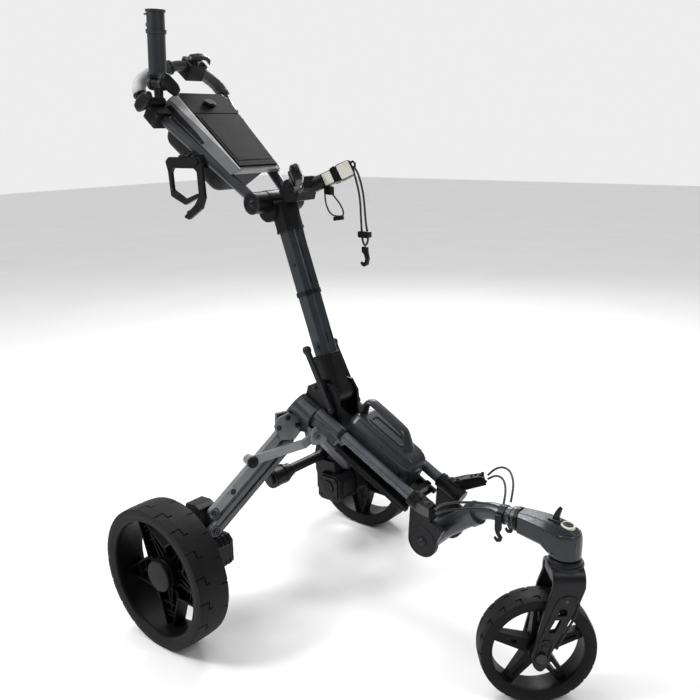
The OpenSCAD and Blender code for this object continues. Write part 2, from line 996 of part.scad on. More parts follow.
module shell() {
    points = [
        for (i = [0, 1])
            for (s = [-1, 1])
                [-shell_bottom[i][0], s * shell_bottom[i][1], shell_z[0]],
        for (i = [0, 1])
            for (s = [-1, 1])
                [-shell_top[i][0], s * shell_top[i][1], shell_z[1 + i]]
    ];
    polyhedron(points = points, faces = [
        [0, 1, 3, 2], [4, 6, 7, 5], [0, 4, 5, 1], [2, 3, 7, 6],
        [0, 2, 6], [0, 6, 4], [1, 5, 7], [1, 7, 3]], convexity = 2);
}

lid_hinge = [70, 26.3];             // distance up the handle, height over its tubes
lid_tilt = 2.9;
lid_len = 142;
lid_t = 3.5;

// Frame on the console's top face at the lid's hinge: X up the handle
module lid_frame() {
    translate([-lid_hinge[0], 0, lid_hinge[1]])
        rotate([0, lid_tilt, 0])
            mirror([1, 0, 0])
                children();
}

module console_body() {
    color([0.26, 0.26, 0.26])
        cart()
            handle_frame()
                difference() {
                    shell();
                    lid_frame()
                        translate([-1, -64, -1])
                            cube([lid_len + 2, 128, 20]);
                    translate([0, 0, 5])
                        linear_extrude(height = 60)
                            polygon([[-86, -42], [-206, -50], [-206, 50], [-86, 42]]);
                    lid_frame()
                        translate([172, 0, -3.4])
                            cylinder(h = 20, d = 22, $fn = round_fn);
                }
}

module console_lid() {
    color([0.2, 0.2, 0.19])
        cart()
            handle_frame()
                lid_frame()
                    translate([0, 0, -0.6])
                        linear_extrude(height = lid_t)
                            polygon([[0, -49], [lid_len, -56], [lid_len, 56], [0, 49]]);
}

module lid_latch() {
    color([0.08, 0.08, 0.08])
        cart()
            handle_frame()
                lid_frame()
                    translate([172, 0, -0.6])
                        cylinder(h = 9, d = 21, $fn = round_fn);
}

module rounded_bin(inset, top) {
    hull() {
        for (p = [[122, 24], [246, 34]])
            for (s = [-1, 1])
                translate([-p[0], s * p[1], -44])
                    sphere(r = 24 - inset, $fn = 32);
        for (p = [[88, 44], [258, 62]])
            for (s = [-1, 1])
                translate([-p[0], s * p[1], top])
                    cylinder(h = 0.2, r = 6 - inset, $fn = 16);
    }
}

module storage_bin() {
    color([0.06, 0.06, 0.06])
        cart()
            handle_frame()
                difference() {
                    rounded_bin(0, 9.8);
                    rounded_bin(3, 12);
                }
}

holder_y = -100;                  // the drink holder's hinge axis
holder_z = 868;

module holder_clip() {
    color([0.09, 0.09, 0.09])
        cart()
            difference() {
                union() {
                    translate([-118, -88, 848])
                        cube([44, 26, 24]);
                    rod([-118, holder_y, holder_z], [-74, holder_y, holder_z], 8);
                    for (x = [-118, -84])
                        translate([x, holder_y, holder_z - 4])
                            cube([10, 20, 8]);
                }
                loop_bar(handle_d + 0.1);
                handle_frame()
                    shell();
            }
}

module drink_holder() {
    color([0.08, 0.08, 0.08])
        cart() {
            difference() {
                rod([-107.4, holder_y, holder_z], [-84.6, holder_y, holder_z], 15);
                rod([-120, holder_y, holder_z], [-70, holder_y, holder_z], 8 + 2 * fit);
            }
            slab_y([[-150, 860], [-140, 868], [-58, 868], [-48, 852], [-44, 796], [-54, 776], [-92, 754],
                [-108, 758], [-74, 782], [-60, 798], [-62, 842], [-70, 848], [-128, 848], [-134, 840],
                [-132, 808], [-98, 792], [-62, 804], [-62, 796], [-100, 781], [-140, 796], [-144, 842]],
                -110, -104.5);
        }
}

clamp_at = 256;                   // distance up the right handle tube
stem_pivot = [-173, -97, 968];
stem_pin_d = 8;
knob_bore_end = -103;             // the stem knob's screw stops in the near cheek, short of the stem

module umbrella_clamp() {
    color([0.08, 0.08, 0.08])
        cart()
            difference() {
                union() {
                    handle_frame()
                        translate([-clamp_at - 18, -114, -17])
                            cube([36, 29, 34]);
                    barrel_y(stem_pivot[0], stem_pivot[2], -113.5, -85.5, 17);
                }
                handle_frame()
                    rod([-225, -89.6, 0.3], [-290, -104.2, 0.3], handle_d + 0.6);
                // slot for the stem, round the pin that it tilts on, and the knob's bore
                difference() {
                    barrel_y(stem_pivot[0], stem_pivot[2], -101.2, -88.8, 18);
                    barrel_y(stem_pivot[0], stem_pivot[2], -102, -88, stem_pin_d);
                }
                barrel_y(stem_pivot[0], stem_pivot[2], -130, knob_bore_end, stem_pin_d + 2 * fit);
            }
}

module umbrella_stem() {
    color([0.1, 0.1, 0.1])
        cart()
            difference() {
                union() {
                    barrel_y(stem_pivot[0], stem_pivot[2], -100.8, -89.2, 17);
                    slab_y([[-181, 970], [-165, 967], [-163, 992], [-163, 999], [-181, 999], [-181, 988]],
                        -99, -91);
                    umbrella_frame()
                        translate([-11, 0, 0])
                            screw_x(22, 20);
                }
                barrel_y(stem_pivot[0], stem_pivot[2], -130, -70, stem_pin_d + 2 * fit);
                umbrella_frame()
                    translate([-30, 0, 0])
                        screw_x(60, 8 + 2 * fit);
            }
}

umbrella_top = 128;               // height of the tube's mouth above its tilt pivot
umbrella_lean = 3.5;

// Frame at the umbrella tube's tilt pivot: Z along the tube
module umbrella_frame() {
    translate([-172, -95, 1000])
        rotate([0, umbrella_lean, 0])
            children();
}

module umbrella_tube() {
    color([0.2, 0.2, 0.2])
        cart()
            umbrella_frame()
                difference() {
                    union() {
                        translate([0, 0, 16])
                            cylinder(h = umbrella_top - 16, d = umbrella_d, $fn = 64);
                        translate([0, 0, umbrella_top - 4])
                            cylinder(h = 4, d = umbrella_d + 4, $fn = 64);
                        translate([0, 0, 90])
                            cylinder(h = 4, d = umbrella_d + 5, $fn = 64);
                        translate([-24, 0, 103])
                            screw_x(18, 10);
                        for (x = [-19, 12]) {
                            translate([x, -9, -2])
                                cube([7, 18, 22]);
                            translate([x, 0, 0])
                                screw_x(7, 24);
                        }
                        translate([-19, 0, 0])
                            screw_x(52, 8);
                    }
                    translate([0, 0, 22])
                        cylinder(h = umbrella_top, d = umbrella_bore, $fn = 64);
                }
}

module stem_knob() {
    color([0.09, 0.09, 0.09])
        cart()
            union() {
                barrel_y(stem_pivot[0], stem_pivot[2], -126, -114.3, 20);
                barrel_y(stem_pivot[0], stem_pivot[2], -115, knob_bore_end - 0.4, stem_pin_d);
                translate([stem_pivot[0], -126, stem_pivot[2]])
                    rotate([90, 30, 0])
                        linear_extrude(height = 10)
                            polygon([[-20, -4], [-14, -9], [14, -9], [20, -4],
                                [20, 4], [14, 9], [-14, 9], [-20, 4]]);
            }
}

module tilt_knob() {
    color([0.09, 0.09, 0.09])
        cart()
            umbrella_frame()
                difference() {
                    union() {
                        translate([20, 0, 0])
                            screw_x(10, 20);
                        translate([29, 0, 0])
                            rotate([50, 0, 0])
                                rotate([0, 90, 0])
                                    linear_extrude(height = 10)
                                        polygon([[-22, -5], [-14, -10], [14, -10], [22, -5], [22, 5],
                                            [14, 10], [-14, 10], [-22, 5]]);
                    }
                    screw_x(33 + 0.3, 8 + 2 * fit);
                }
}

// ---------- cords ----------

bungee_route = [[154, 71, 842], [158, 73, 836], [162, 75, 820], [166, 77, 800], [168, 78, 780],
    [169, 78, 760], [170, 78, 740], [171, 78, 724], [173, 78, 712], [178, 78, 704], [183, 80, 712],
    [181, 82, 726], [178, 82, 742], [176, 82, 760], [175, 81, 780], [173, 80, 800], [169, 78, 820],
    [164, 76, 836], [158, 74, 846]];
loop_route = [[122, 38, 806], [116, 40, 798], [113, 44, 786], [115, 46, 774], [121, 47, 764],
    [131, 48, 759], [150, 48, 760], [152, 47, 770], [146, 45, 782], [138, 43, 792], [130, 41, 802]];

module upper_cords() {
    color([0.04, 0.04, 0.04])
        cart() {
            sweep(bungee_route, 4, 8, [1, 0, 0]);
            sweep(loop_route, 3, 8, [0, 1, 0]);
        }
}

module cord_ends() {
    color([0.04, 0.04, 0.04])
        cart() {
            slab_y([[172, 692], [172, 701.9], [184, 701.9], [184, 692], [187, 680], [184, 668], [176, 664],
                [168, 670], [172, 674], [178, 671], [180, 680], [176, 688]], 75, 81);
            translate([132, 42, 750])
                rotate([0, -8, 0])
                    cube([18, 12, 7]);
        }
}

upper_loop_route = [[446, 84, 312], [456, 90, 324], [472, 88, 333], [490, 78, 336], [505, 62, 334],
    [516, 46, 329], [524, 28, 320], [528, 16, 311]];
lower_loop_route = [[446, 84, 305], [458, 86, 313], [472, 80, 318], [486, 68, 319], [498, 52, 317],
    [507, 36, 313], [512, 24, 308], [514, 18, 303]];

module lower_cords() {
    color([0.04, 0.04, 0.04])
        cart()
            both_sides()
                for (route = [upper_loop_route, lower_loop_route])
                    sweep(route, 4, 8);
}

hub_casting();
upright_yoke();
leg_plates();
frame_screws();
lower_tubes();
side_rails();
tube_clamps();
link_brackets();
battery_tray();
battery_pack();
pod_plates();
lower_cradle();
leg_main(true);  // leg_main_right
leg_upper(true);  // leg_upper_right
cross_link(true);  // cross_link_right
drive(true);  // drive_right
rear_rim(true);  // rim_right
rear_tyre(true);  // tyre_right
leg_main(false);  // leg_main_left
leg_upper(false);  // leg_upper_left
cross_link(false);  // cross_link_left
drive(false);  // drive_left
rear_rim(false);  // rim_left
rear_tyre(false);  // tyre_left
brake_unit();
front_arm();
steering_head();
swivel_lock();
fork();
fork_axle();
front_rim();
front_tyre();
upright_tube();
lower_sleeve();
hinge_head();
side_link(true);  // side_link_right
side_link(false);  // side_link_left
cradle_block();
cradle_arms();
cradle_pads();
upright_cable();
hinge_barrel();
handle_tube();
handle_grip();
control_pod();
brake_lever();
console_body();
console_lid();
lid_latch();
storage_bin();
holder_clip();
drink_holder();
umbrella_clamp();
umbrella_stem();
umbrella_tube();
stem_knob();
tilt_knob();
upper_cords();
cord_ends();
lower_cords();
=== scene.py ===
import json
import math

import bmesh
import bpy
from mathutils import Matrix, Vector
from mathutils.geometry import tessellate_polygon


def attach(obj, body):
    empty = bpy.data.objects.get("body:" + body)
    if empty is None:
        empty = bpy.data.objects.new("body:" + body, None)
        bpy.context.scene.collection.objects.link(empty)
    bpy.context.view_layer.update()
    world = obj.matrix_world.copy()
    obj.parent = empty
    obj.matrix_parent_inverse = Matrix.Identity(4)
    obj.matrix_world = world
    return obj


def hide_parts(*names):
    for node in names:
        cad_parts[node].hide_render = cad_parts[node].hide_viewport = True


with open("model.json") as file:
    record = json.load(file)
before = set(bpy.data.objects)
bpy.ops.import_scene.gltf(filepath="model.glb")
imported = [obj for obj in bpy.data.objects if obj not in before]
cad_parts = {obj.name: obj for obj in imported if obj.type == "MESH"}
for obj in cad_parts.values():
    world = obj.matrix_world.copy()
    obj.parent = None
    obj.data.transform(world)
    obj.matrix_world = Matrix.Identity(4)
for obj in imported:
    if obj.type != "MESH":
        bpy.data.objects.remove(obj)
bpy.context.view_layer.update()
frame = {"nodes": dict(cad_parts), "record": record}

SIDES = ("left", "right")

# millimetres; the wheels stand on the floor, so an axle is as high as its wheel's radius
REAR_RADIUS, FRONT_RADIUS = 135, 96
AXLE_AHEAD = -40            # the front axle, seen from the swivel axis
HINGE = (25, 0, 785)        # the handle's pivot, counted from the rear axle

# ---------- frames: each turns millimetres in a part's own axes into metres in the row frame ----------


def move(x, y, z):
    return Matrix.Translation((x, y, z))


def turn(degrees, axis):
    return Matrix.Rotation(math.radians(degrees), 4, axis)


def flip(s):
    """Mirrors left to right where s is -1."""
    return Matrix.Diagonal((1, s, 1, 1))


def toward(origin, end):
    """A frame at origin with Z along the line to end."""
    line = Vector(end) - Vector(origin)
    return Matrix.Translation(origin) @ line.to_track_quat("Z", "Y").to_matrix().to_4x4()


FLIP = {"left": flip(1), "right": flip(-1)}
CART = move(-0.225, 0, 0) @ Matrix.Scale(0.001, 4)          # counted from the rear axle
TUBES = CART @ move(207, 0, 382) @ turn(27, "Y")            # X down the lower tubes
LEG = {s: CART @ FLIP[s] @ move(87, 0, 0) @ turn(18, "Z") for s in SIDES}
UPRIGHT = CART @ move(170, 0, 436) @ turn(-19.7, "Y")       # Z up the upright
HANDLE = CART @ move(*HINGE) @ turn(38.5, "Y")              # -X up the handle
LID = HANDLE @ move(-70, 0, 26.3) @ turn(2.9, "Y") @ Matrix.Diagonal((-1, 1, 1, 1))
SIDE_ON = CART @ turn(90, "X")                              # Y up, Z towards the cart's right
UMBRELLA = CART @ move(-172, -95, 1000) @ turn(3.5, "Y")
FORK = CART @ move(635, 0, 0) @ turn(40, "Z")
FRONT_WHEEL = FORK @ move(AXLE_AHEAD, 0, FRONT_RADIUS) @ turn(90, "X")    # Z along the axle
REAR_WHEEL = {s: CART @ FLIP[s] @ move(0, 297, REAR_RADIUS) @ turn(-90, "X") for s in SIDES}
LOW_CRADLE = {s: CART @ FLIP[s] @ move(416, 64, 299) @ turn(36, "Z") @ turn(-13, "Y") for s in SIDES}
TOP_CRADLE = {s: CART @ FLIP[s] @ move(104, 24, 815) @ turn(43, "Z") @ turn(-24, "Y") @ turn(72, "X")
              for s in SIDES}


# ---------- materials ----------


def principled(name, colour, rough, metallic=0.0, specular=0.5):
    mat = bpy.data.materials.new(name)
    mat.use_nodes = True
    shader = mat.node_tree.nodes["Principled BSDF"]
    shader.inputs["Base Color"].default_value = (*colour, 1)
    shader.inputs["Roughness"].default_value = rough
    shader.inputs["Metallic"].default_value = metallic
    shader.inputs["Specular IOR Level"].default_value = specular
    return mat, shader


def node(mat, kind, **values):
    made = mat.node_tree.nodes.new(kind)
    for key, value in values.items():
        setattr(made, key, value)
    return made


def link(mat, value, socket):
    mat.node_tree.links.new(value, socket)


def coordinates(mat, stretch=(1, 1, 1), tilt=0.0):
    where = node(mat, "ShaderNodeTexCoord")
    mapping = node(mat, "ShaderNodeMapping")
    mapping.inputs["Rotation"].default_value = (0, math.radians(tilt), 0)
    mapping.inputs["Scale"].default_value = stretch
    link(mat, where.outputs["Object"], mapping.inputs["Vector"])
    return mapping.outputs["Vector"]


def noise(mat, vector, scale, detail):
    made = node(mat, "ShaderNodeTexNoise")
    made.inputs["Scale"].default_value = scale
    made.inputs["Detail"].default_value = detail
    made.inputs["Roughness"].default_value = 0.55
    link(mat, vector, made.inputs["Vector"])
    return made.outputs["Fac"]


def remap(mat, value, low, high, start=0.3, stop=0.7):
    made = node(mat, "ShaderNodeMapRange")
    for key, number in (("From Min", start), ("From Max", stop), ("To Min", low), ("To Max", high)):
        made.inputs[key].default_value = number
    link(mat, value, made.inputs["Value"])
    return made.outputs["Result"]


def maths(mat, operation, *values):
    """A maths node; each value is a number or another node's output."""
    made = node(mat, "ShaderNodeMath", operation=operation)
    for socket, value in zip(made.inputs, values):
        if isinstance(value, float):
            socket.default_value = value
        else:
            link(mat, value, socket)
    return made.outputs[0]


def scaled(colour, share):
    return tuple(min(1.0, c * share) for c in colour)


def blend_colours(mat, factor, first, second):
    made = node(mat, "ShaderNodeMix", data_type="RGBA")
    for socket, colour in ((6, first), (7, second)):
        if isinstance(colour, tuple):
            made.inputs[socket].default_value = (*colour, 1)
        else:
            link(mat, colour, made.inputs[socket])
    link(mat, factor, made.inputs[0])
    return made.outputs[2]


def bump(mat, shader, heights):
    """heights is a list of (texture value, height in metres), one bump node each."""
    normal = None
    for value, height in heights:
        made = node(mat, "ShaderNodeBump")
        made.inputs["Strength"].default_value = 1.0
        made.inputs["Distance"].default_value = height
        link(mat, value, made.inputs["Height"])
        if normal:
            link(mat, normal, made.inputs["Normal"])
        normal = made.outputs["Normal"]
    link(mat, normal, shader.inputs["Normal"])


def moulded(name, colour, rough, grain=0.00004, grain_scale=1400, metallic=0.0, specular=0.5,
            vary=0.18, dust=None):
    """Moulded plastic, paint or rubber: a fine grain, slow changes of tone and gloss, and dust."""
    mat, shader = principled(name, colour, rough, metallic, specular)
    vector = coordinates(mat)
    slow = noise(mat, vector, 28, 4)
    mid = noise(mat, vector, 240, 3)
    fine = noise(mat, vector, grain_scale, 2)
    tone = blend_colours(mat, remap(mat, slow, 0, 1), scaled(colour, 1 - vary), scaled(colour, 1 + vary))
    if dust:
        tone = blend_colours(mat, remap(mat, mid, 0, 0.5, 0.52, 0.75), tone, dust)
    link(mat, tone, shader.inputs["Base Color"])
    link(mat, remap(mat, mid, rough - 0.06, min(1.0, rough + 0.08)), shader.inputs["Roughness"])
    bump(mat, shader, [(fine, grain), (slow, 0.0001)])
    return mat


def brushed(name, colour, rough, stretch, tilt=0.0, metallic=0.6):
    """Anodised or satin-painted tube, with faint drawing lines along it."""
    mat, shader = principled(name, colour, rough, metallic)
    lines = noise(mat, coordinates(mat, stretch, tilt), 900, 3)
    cloud = noise(mat, coordinates(mat), 35, 4)
    tone = blend_colours(mat, remap(mat, cloud, 0, 1), scaled(colour, 0.82), scaled(colour, 1.2))
    link(mat, tone, shader.inputs["Base Color"])
    link(mat, remap(mat, lines, rough - 0.03, rough + 0.05), shader.inputs["Roughness"])
    bump(mat, shader, [(lines, 0.000004), (noise(mat, coordinates(mat), 2200, 2), 0.000008)])
    return mat


def woven(name, colour, rough, pitch=0.0022):
    """Braided cord: strands crossing both ways, from the tube's own map (round it, along it)."""
    mat, shader = principled(name, colour, rough, 0.0, 0.3)
    waves = []
    for lean in (-1, 1):
        split = node(mat, "ShaderNodeSeparateXYZ")
        link(mat, node(mat, "ShaderNodeTexCoord").outputs["UV"], split.inputs[0])
        along = maths(mat, "MULTIPLY", split.outputs[1], 2 * math.pi / pitch)
        phase = maths(mat, "MULTIPLY_ADD", split.outputs[0], lean * 4 * math.pi, along)
        waves.append(maths(mat, "SINE", phase))
    top = maths(mat, "MAXIMUM", *waves)
    # the strand tops are painted lighter than the grooves between them: a painted highlight on the tops and
    # painted shade in the grooves
    tone = blend_colours(mat, remap(mat, top, 0, 1, -0.5, 1), colour, scaled(colour, 2.2))
    link(mat, tone, shader.inputs["Base Color"])
    shader.inputs["Sheen Weight"].default_value = 0.3
    bump(mat, shader, [(top, 0.00025)])
    return mat


def leather(name, colour, rough):
    mat, shader = principled(name, colour, rough, 0.0, 0.4)
    vector = coordinates(mat)
    cells = node(mat, "ShaderNodeTexVoronoi", feature="DISTANCE_TO_EDGE")
    cells.inputs["Scale"].default_value = 650
    link(mat, vector, cells.inputs["Vector"])
    slow = noise(mat, vector, 40, 4)
    tone = blend_colours(mat, remap(mat, slow, 0, 1), scaled(colour, 0.75), colour)
    link(mat, tone, shader.inputs["Base Color"])
    link(mat, remap(mat, slow, rough - 0.08, rough + 0.1), shader.inputs["Roughness"])
    bump(mat, shader, [(remap(mat, cells.outputs["Distance"], 0, 1, 0, 0.25), 0.00012),
                       (noise(mat, vector, 1800, 2), 0.00004)])
    return mat


MATS = {}


def add(maker, name, *values, **more):
    MATS[name] = maker(name, *values, **more)


add(moulded, "charcoal_paint", (0.056, 0.060, 0.068), 0.32, 0.00002, 1800, 0.55)
add(moulded, "grey_paint", (0.095, 0.098, 0.107), 0.40, 0.00005, 1500, 0.4, vary=0.12)
# grey raised above the plates' own mid-dark grey: partly real paint, partly a painted reflection of a light
add(moulded, "plate_paint", (0.200, 0.205, 0.220), 0.36, 0.00005, 1500, 0.5, vary=0.12)
add(moulded, "head_paint", (0.030, 0.032, 0.037), 0.30, 0.000005, 1800, 0.5)
add(moulded, "grey_paint_light", (0.300, 0.307, 0.322), 0.38, 0.00005, 1500, 0.4, vary=0.12)
add(brushed, "satin_tube", (0.115, 0.123, 0.135), 0.26, (0.05, 1, 1), 27)
add(brushed, "upright_paint", (0.038, 0.043, 0.048), 0.33, (1, 1, 0.05), 19.7)
add(brushed, "handle_paint", (0.055, 0.057, 0.064), 0.32, (0.05, 1, 1), 38.5)
add(brushed, "bright_alloy", (0.36, 0.37, 0.38), 0.30, (1, 0.05, 1), 0, 0.85)
add(brushed, "black_steel", (0.045, 0.045, 0.048), 0.28, (1, 1, 1), 0, 0.85)
add(moulded, "black_plastic", (0.004, 0.004, 0.005), 0.36, specular=0.22)
add(moulded, "bin_black", (0.005, 0.005, 0.006), 0.55, specular=0.18)
add(moulded, "charcoal_plastic", (0.006, 0.0065, 0.008), 0.36, specular=0.24)
add(moulded, "battery_case", (0.016, 0.017, 0.020), 0.32, 0.00003, 1100, specular=0.42)
add(moulded, "console_grey", (0.110, 0.112, 0.118), 0.38, 0.00003, 1300)
add(moulded, "console_lid_grey", (0.007, 0.007, 0.007), 0.50, 0.00005, 1500, specular=0.06)
add(moulded, "umbrella_grey", (0.018, 0.019, 0.023), 0.36, 0.00003, 1200, specular=0.4)
add(moulded, "rim_black", (0.003, 0.003, 0.004), 0.45, 0.00003, 1200, specular=0.14)
add(moulded, "hub_grey", (0.008, 0.008, 0.008), 0.48, 0.00004, 1500, specular=0.14)
add(moulded, "tyre_rubber", (0.006, 0.006, 0.006), 0.58, 0.00006, 900,
    dust=(0.013, 0.0125, 0.012), specular=0.17)
add(moulded, "pad_rubber", (0.66, 0.65, 0.59), 0.62, 0.00004, 1500, vary=0.06, specular=0.4)
# the dark grip's leather painted light grey where a highlight falls on its near part: a painted highlight
add(leather, "grip_leather", (0.50, 0.505, 0.515), 0.44)
add(leather, "grip_dark", (0.022, 0.023, 0.026), 0.42)
add(woven, "cord_black", (0.008, 0.008, 0.009), 0.7)
add(moulded, "cable_rubber", (0.008, 0.008, 0.009), 0.34, 0.00002, 900, specular=0.35)
add(brushed, "trim_silver", (0.40, 0.405, 0.41), 0.36, (0.05, 1, 1), 38.5, 0.35)
add(brushed, "trim_bright", (0.80, 0.80, 0.80), 0.30, (0.05, 1, 1), 38.5, 0.3)


# ---------- mesh building ----------


def circle(r, n, h=0.0):
    return [(r * math.cos(2 * math.pi * k / n), r * math.sin(2 * math.pi * k / n), h) for k in range(n)]


def rectangle(low, high):
    return [low, (high[0], low[1]), high, (low[0], high[1])]


class Shape:
    """Closed shells collected in one mesh. Points are given in the millimetres of a frame."""

    def __init__(self, place):
        self.place = place
        self.verts = []
        self.faces = []
        self.uvs = {}

    def loft(self, rings, loop=False, place=None):
        place = place or self.place
        start, n = len(self.verts), len(rings[0])
        for ring in rings:
            self.verts += [place @ Vector(p) for p in ring]
        count = len(rings)
        for i in range(count if loop else count - 1):
            for k in range(n):
                a, b = start + i * n, start + (i + 1) % count * n
                self.faces.append((a + k, a + (k + 1) % n, b + (k + 1) % n, b + k))
        if not loop:
            self.faces.append(tuple(start + k for k in reversed(range(n))))
            self.faces.append(tuple(start + (count - 1) * n + k for k in range(n)))
        return self

    def lathe(self, profile, n=48, place=None):
        """profile is (radius, height) pairs from one end to the other; the ends are capped."""
        return self.loft([circle(r, n, h) for r, h in profile], place=place)

    def hoop(self, profile, n=96, place=None):
        """A closed profile of (radius, height) pairs turned all the way round."""
        rings = [[(r * math.cos(2 * math.pi * k / n), r * math.sin(2 * math.pi * k / n), h)
                  for r, h in profile] for k in range(n)]
        return self.loft(rings, loop=True, place=place)

    def plate(self, outer, low, high, holes=(), place=None, taper=None):
        """A flat outline in X and Y, with holes, from low to high. taper(x, y, top) moves points."""
        place = place or self.place
        loops = [[Vector((x, y, 0)) for x, y in loop] for loop in (outer, *holes)]
        flat = [p for loop in loops for p in loop]
        start, n = len(self.verts), len(flat)
        for level in (low, high):
            for p in flat:
                x, y, z = p.x, p.y, level
                if taper:
                    x, y, z = taper(x, y, level)
                self.verts.append(place @ Vector((x, y, z)))
        for a, b, c in tessellate_polygon(loops):
            self.faces.append((start + a, start + b, start + c))
            self.faces.append((start + n + c, start + n + b, start + n + a))
        first = start
        for loop in loops:
            m = len(loop)
            for k in range(m):
                a, b = first + k, first + (k + 1) % m
                self.faces.append((a, b, b + n, a + n))
            first += m
        return self

    def box(self, low, high, place=None):
        return self.plate(rectangle(low[:2], high[:2]), low[2], high[2], place=place)

    def tube(self, path, radius, n=12, place=None, flat=1.0, up=(0.3, 0.2, 1)):
        """A bar along a path. radius is one number or one for each point."""
        points = [Vector(p) for p in path]
        radii = radius if hasattr(radius, "__len__") else [radius] * len(points)
        side, rings, run = Vector(up), [], 0.0
        runs = []
        for i, p in enumerate(points):
            ahead = (points[min(i + 1, len(points) - 1)] - points[max(i - 1, 0)]).normalized()
            side = (side - ahead * side.dot(ahead)).normalized()
            other = ahead.cross(side)
            rings.append([p + radii[i] * (math.cos(2 * math.pi * k / n) * side
                                          + flat * math.sin(2 * math.pi * k / n) * other)
                          for k in range(n)])
            run += (p - points[i - 1]).length if i else 0
            runs.append(run)
        first = len(self.faces)
        self.loft(rings, place=place)
        for i in range(len(points) - 1):
            for k in range(n):
                self.uvs[first + i * n + k] = [(k / n, runs[i]), ((k + 1) / n, runs[i]),
                                               ((k + 1) / n, runs[i + 1]), (k / n, runs[i + 1])]
        return self

    def screw(self, at, outward, size, height, washer=True):
        """A socket-head screw standing on a face, with a hexagonal recess."""
        place = self.place @ toward(at, Vector(at) + Vector(outward))
        n, r = 24, size / 2
        corner = math.pi / 3

        def hexagon(h, share=1.0):
            out = []
            for k in range(n):
                a = 2 * math.pi * k / n
                reach = share * 0.42 * r / math.cos(a % corner - corner / 2)
                out.append((reach * math.cos(a), reach * math.sin(a), h))
            return out

        if washer:
            self.lathe([(r * 1.5, -0.5), (r * 1.5, 0.6), (r * 1.42, 0.9)], n, place)
        self.loft([circle(r, n, -0.5), circle(r, n, height - 0.7), circle(r - 0.7, n, height),
                   hexagon(height), hexagon(height - 0.62 * height, 0.96)], place=place)
        return self


def closed_mesh(name, shape):
    """A mesh with its faces turned outwards, and the shape's own map where it has one."""
    mesh = bpy.data.meshes.new(name)
    mesh.from_pydata(shape.verts, [], shape.faces)
    made = bmesh.new()
    made.from_mesh(mesh)
    if shape.uvs:
        layer = made.loops.layers.uv.new("UVMap")
        made.faces.ensure_lookup_table()
        for index, corners in shape.uvs.items():
            for loop, uv in zip(made.faces[index].loops, corners):
                loop[layer].uv = uv
    bmesh.ops.recalc_face_normals(made, faces=made.faces)
    made.to_mesh(mesh)
    made.free()
    return mesh


def in_scene(name, data):
    obj = bpy.data.objects.new(name, data)
    bpy.context.scene.collection.objects.link(obj)
    return obj


def soften(obj, width, angle, segments, sharp):
    """Rounded edges and even shading. width is in millimetres."""
    edge = obj.modifiers.new("soft edges", "BEVEL")
    edge.width = width / 1000
    edge.segments = segments
    edge.limit_method = "ANGLE"
    edge.angle_limit = math.radians(angle)
    edge.use_clamp_overlap = True
    if sharp:
        edge.miter_outer = "MITER_ARC"
    weigh = obj.modifiers.new("even shading", "WEIGHTED_NORMAL")
    weigh.keep_sharp = sharp
    weigh.weight = 80


def finish_mesh(obj, soft_edge, angle, segments, smooth):
    mesh = obj.data
    mesh.polygons.foreach_set("use_smooth", [True] * len(mesh.polygons))
    mesh.set_sharp_from_angle(angle=math.radians(smooth))
    if soft_edge:
        soften(obj, soft_edge, angle, segments, True)


NODE_SLOTS = {p["node"]: p["material_slot"] for p in frame["record"]["subparts"]}


def piece(shape, name, body, material, soft_edge=0.6, angle=32, segments=2, stands_for=(),
          smooth=50):
    """A shape as an object that rides on a body."""
    obj = in_scene(name, closed_mesh(name, shape))
    finish_mesh(obj, soft_edge, angle, segments, smooth)
    obj.data.materials.append(MATS[material])
    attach(obj, body)
    if stands_for:
        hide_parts(*stands_for)
    return obj


def dress(name, material=None, soft_edge=1.0, segments=2):
    """A CAD node that stays: its material and softened edges."""
    obj = frame["nodes"][name]
    obj.data.materials.clear()
    obj.data.materials.append(MATS[material or NODE_SLOTS[name]])
    weld = obj.modifiers.new("weld", "WELD")
    weld.merge_threshold = 0.00001
    soften(obj, soft_edge, 32, segments, False)


def smooth_path(points, steps):
    """A curve through listed points."""
    points = [Vector(p) for p in points]
    out = []
    for i in range(len(points) - 1):
        a, b, c, d = (points[max(0, min(j, len(points) - 1))] for j in range(i - 1, i + 3))
        for s in range(steps):
            t = s / steps
            out.append(0.5 * (2 * b + (c - a) * t + (2 * a - 5 * b + 4 * c - d) * t * t
                              + (3 * b - a - 3 * c + d) * t ** 3))
    return out + [points[-1]]


def arc(cx, cy, r, start, stop, steps):
    return [(cx + r * math.cos(math.radians(start + (stop - start) * i / steps)),
             cy + r * math.sin(math.radians(start + (stop - start) * i / steps))) for i in range(steps + 1)]


def rounded(points, r, steps=4):
    """An outline with its corners rounded by radius r, or less where the sides are short."""
    out, n = [], len(points)
    for i in range(n):
        a, b, c = (Vector(points[i - 1]), Vector(points[i]), Vector(points[(i + 1) % n]))
        u, v = (a - b), (c - b)
        half = u.angle(v) / 2
        cut = min(r / max(math.tan(half), 0.05), u.length * 0.45, v.length * 0.45)
        p, q = b + u.normalized() * cut, b + v.normalized() * cut
        for s in range(steps + 1):
            t = s / steps
            out.append(tuple((1 - t) ** 2 * p + 2 * t * (1 - t) * b + t * t * q))
    return out


# ---------- camera ---------------------------

yaw, pitch, roll = math.radians(129.38), math.radians(15.41), math.radians(1.0)
ahead = Vector((math.cos(yaw) * math.cos(pitch), math.sin(yaw) * math.cos(pitch), -math.sin(pitch)))
right = Vector((math.sin(yaw), -math.cos(yaw), 0))
down = ahead.cross(right)
cam_x = math.cos(roll) * right + math.sin(roll) * down
cam_y = math.sin(roll) * right - math.cos(roll) * down
camera = in_scene("camera", bpy.data.cameras.new("camera"))
camera.matrix_world = Matrix.Translation((0.863, -1.080, 0.909)) @ Matrix(
    (cam_x, cam_y, -ahead)).transposed().to_4x4()
camera.data.lens = 40.83
bpy.context.scene.camera = camera


# ---------- cords ----------

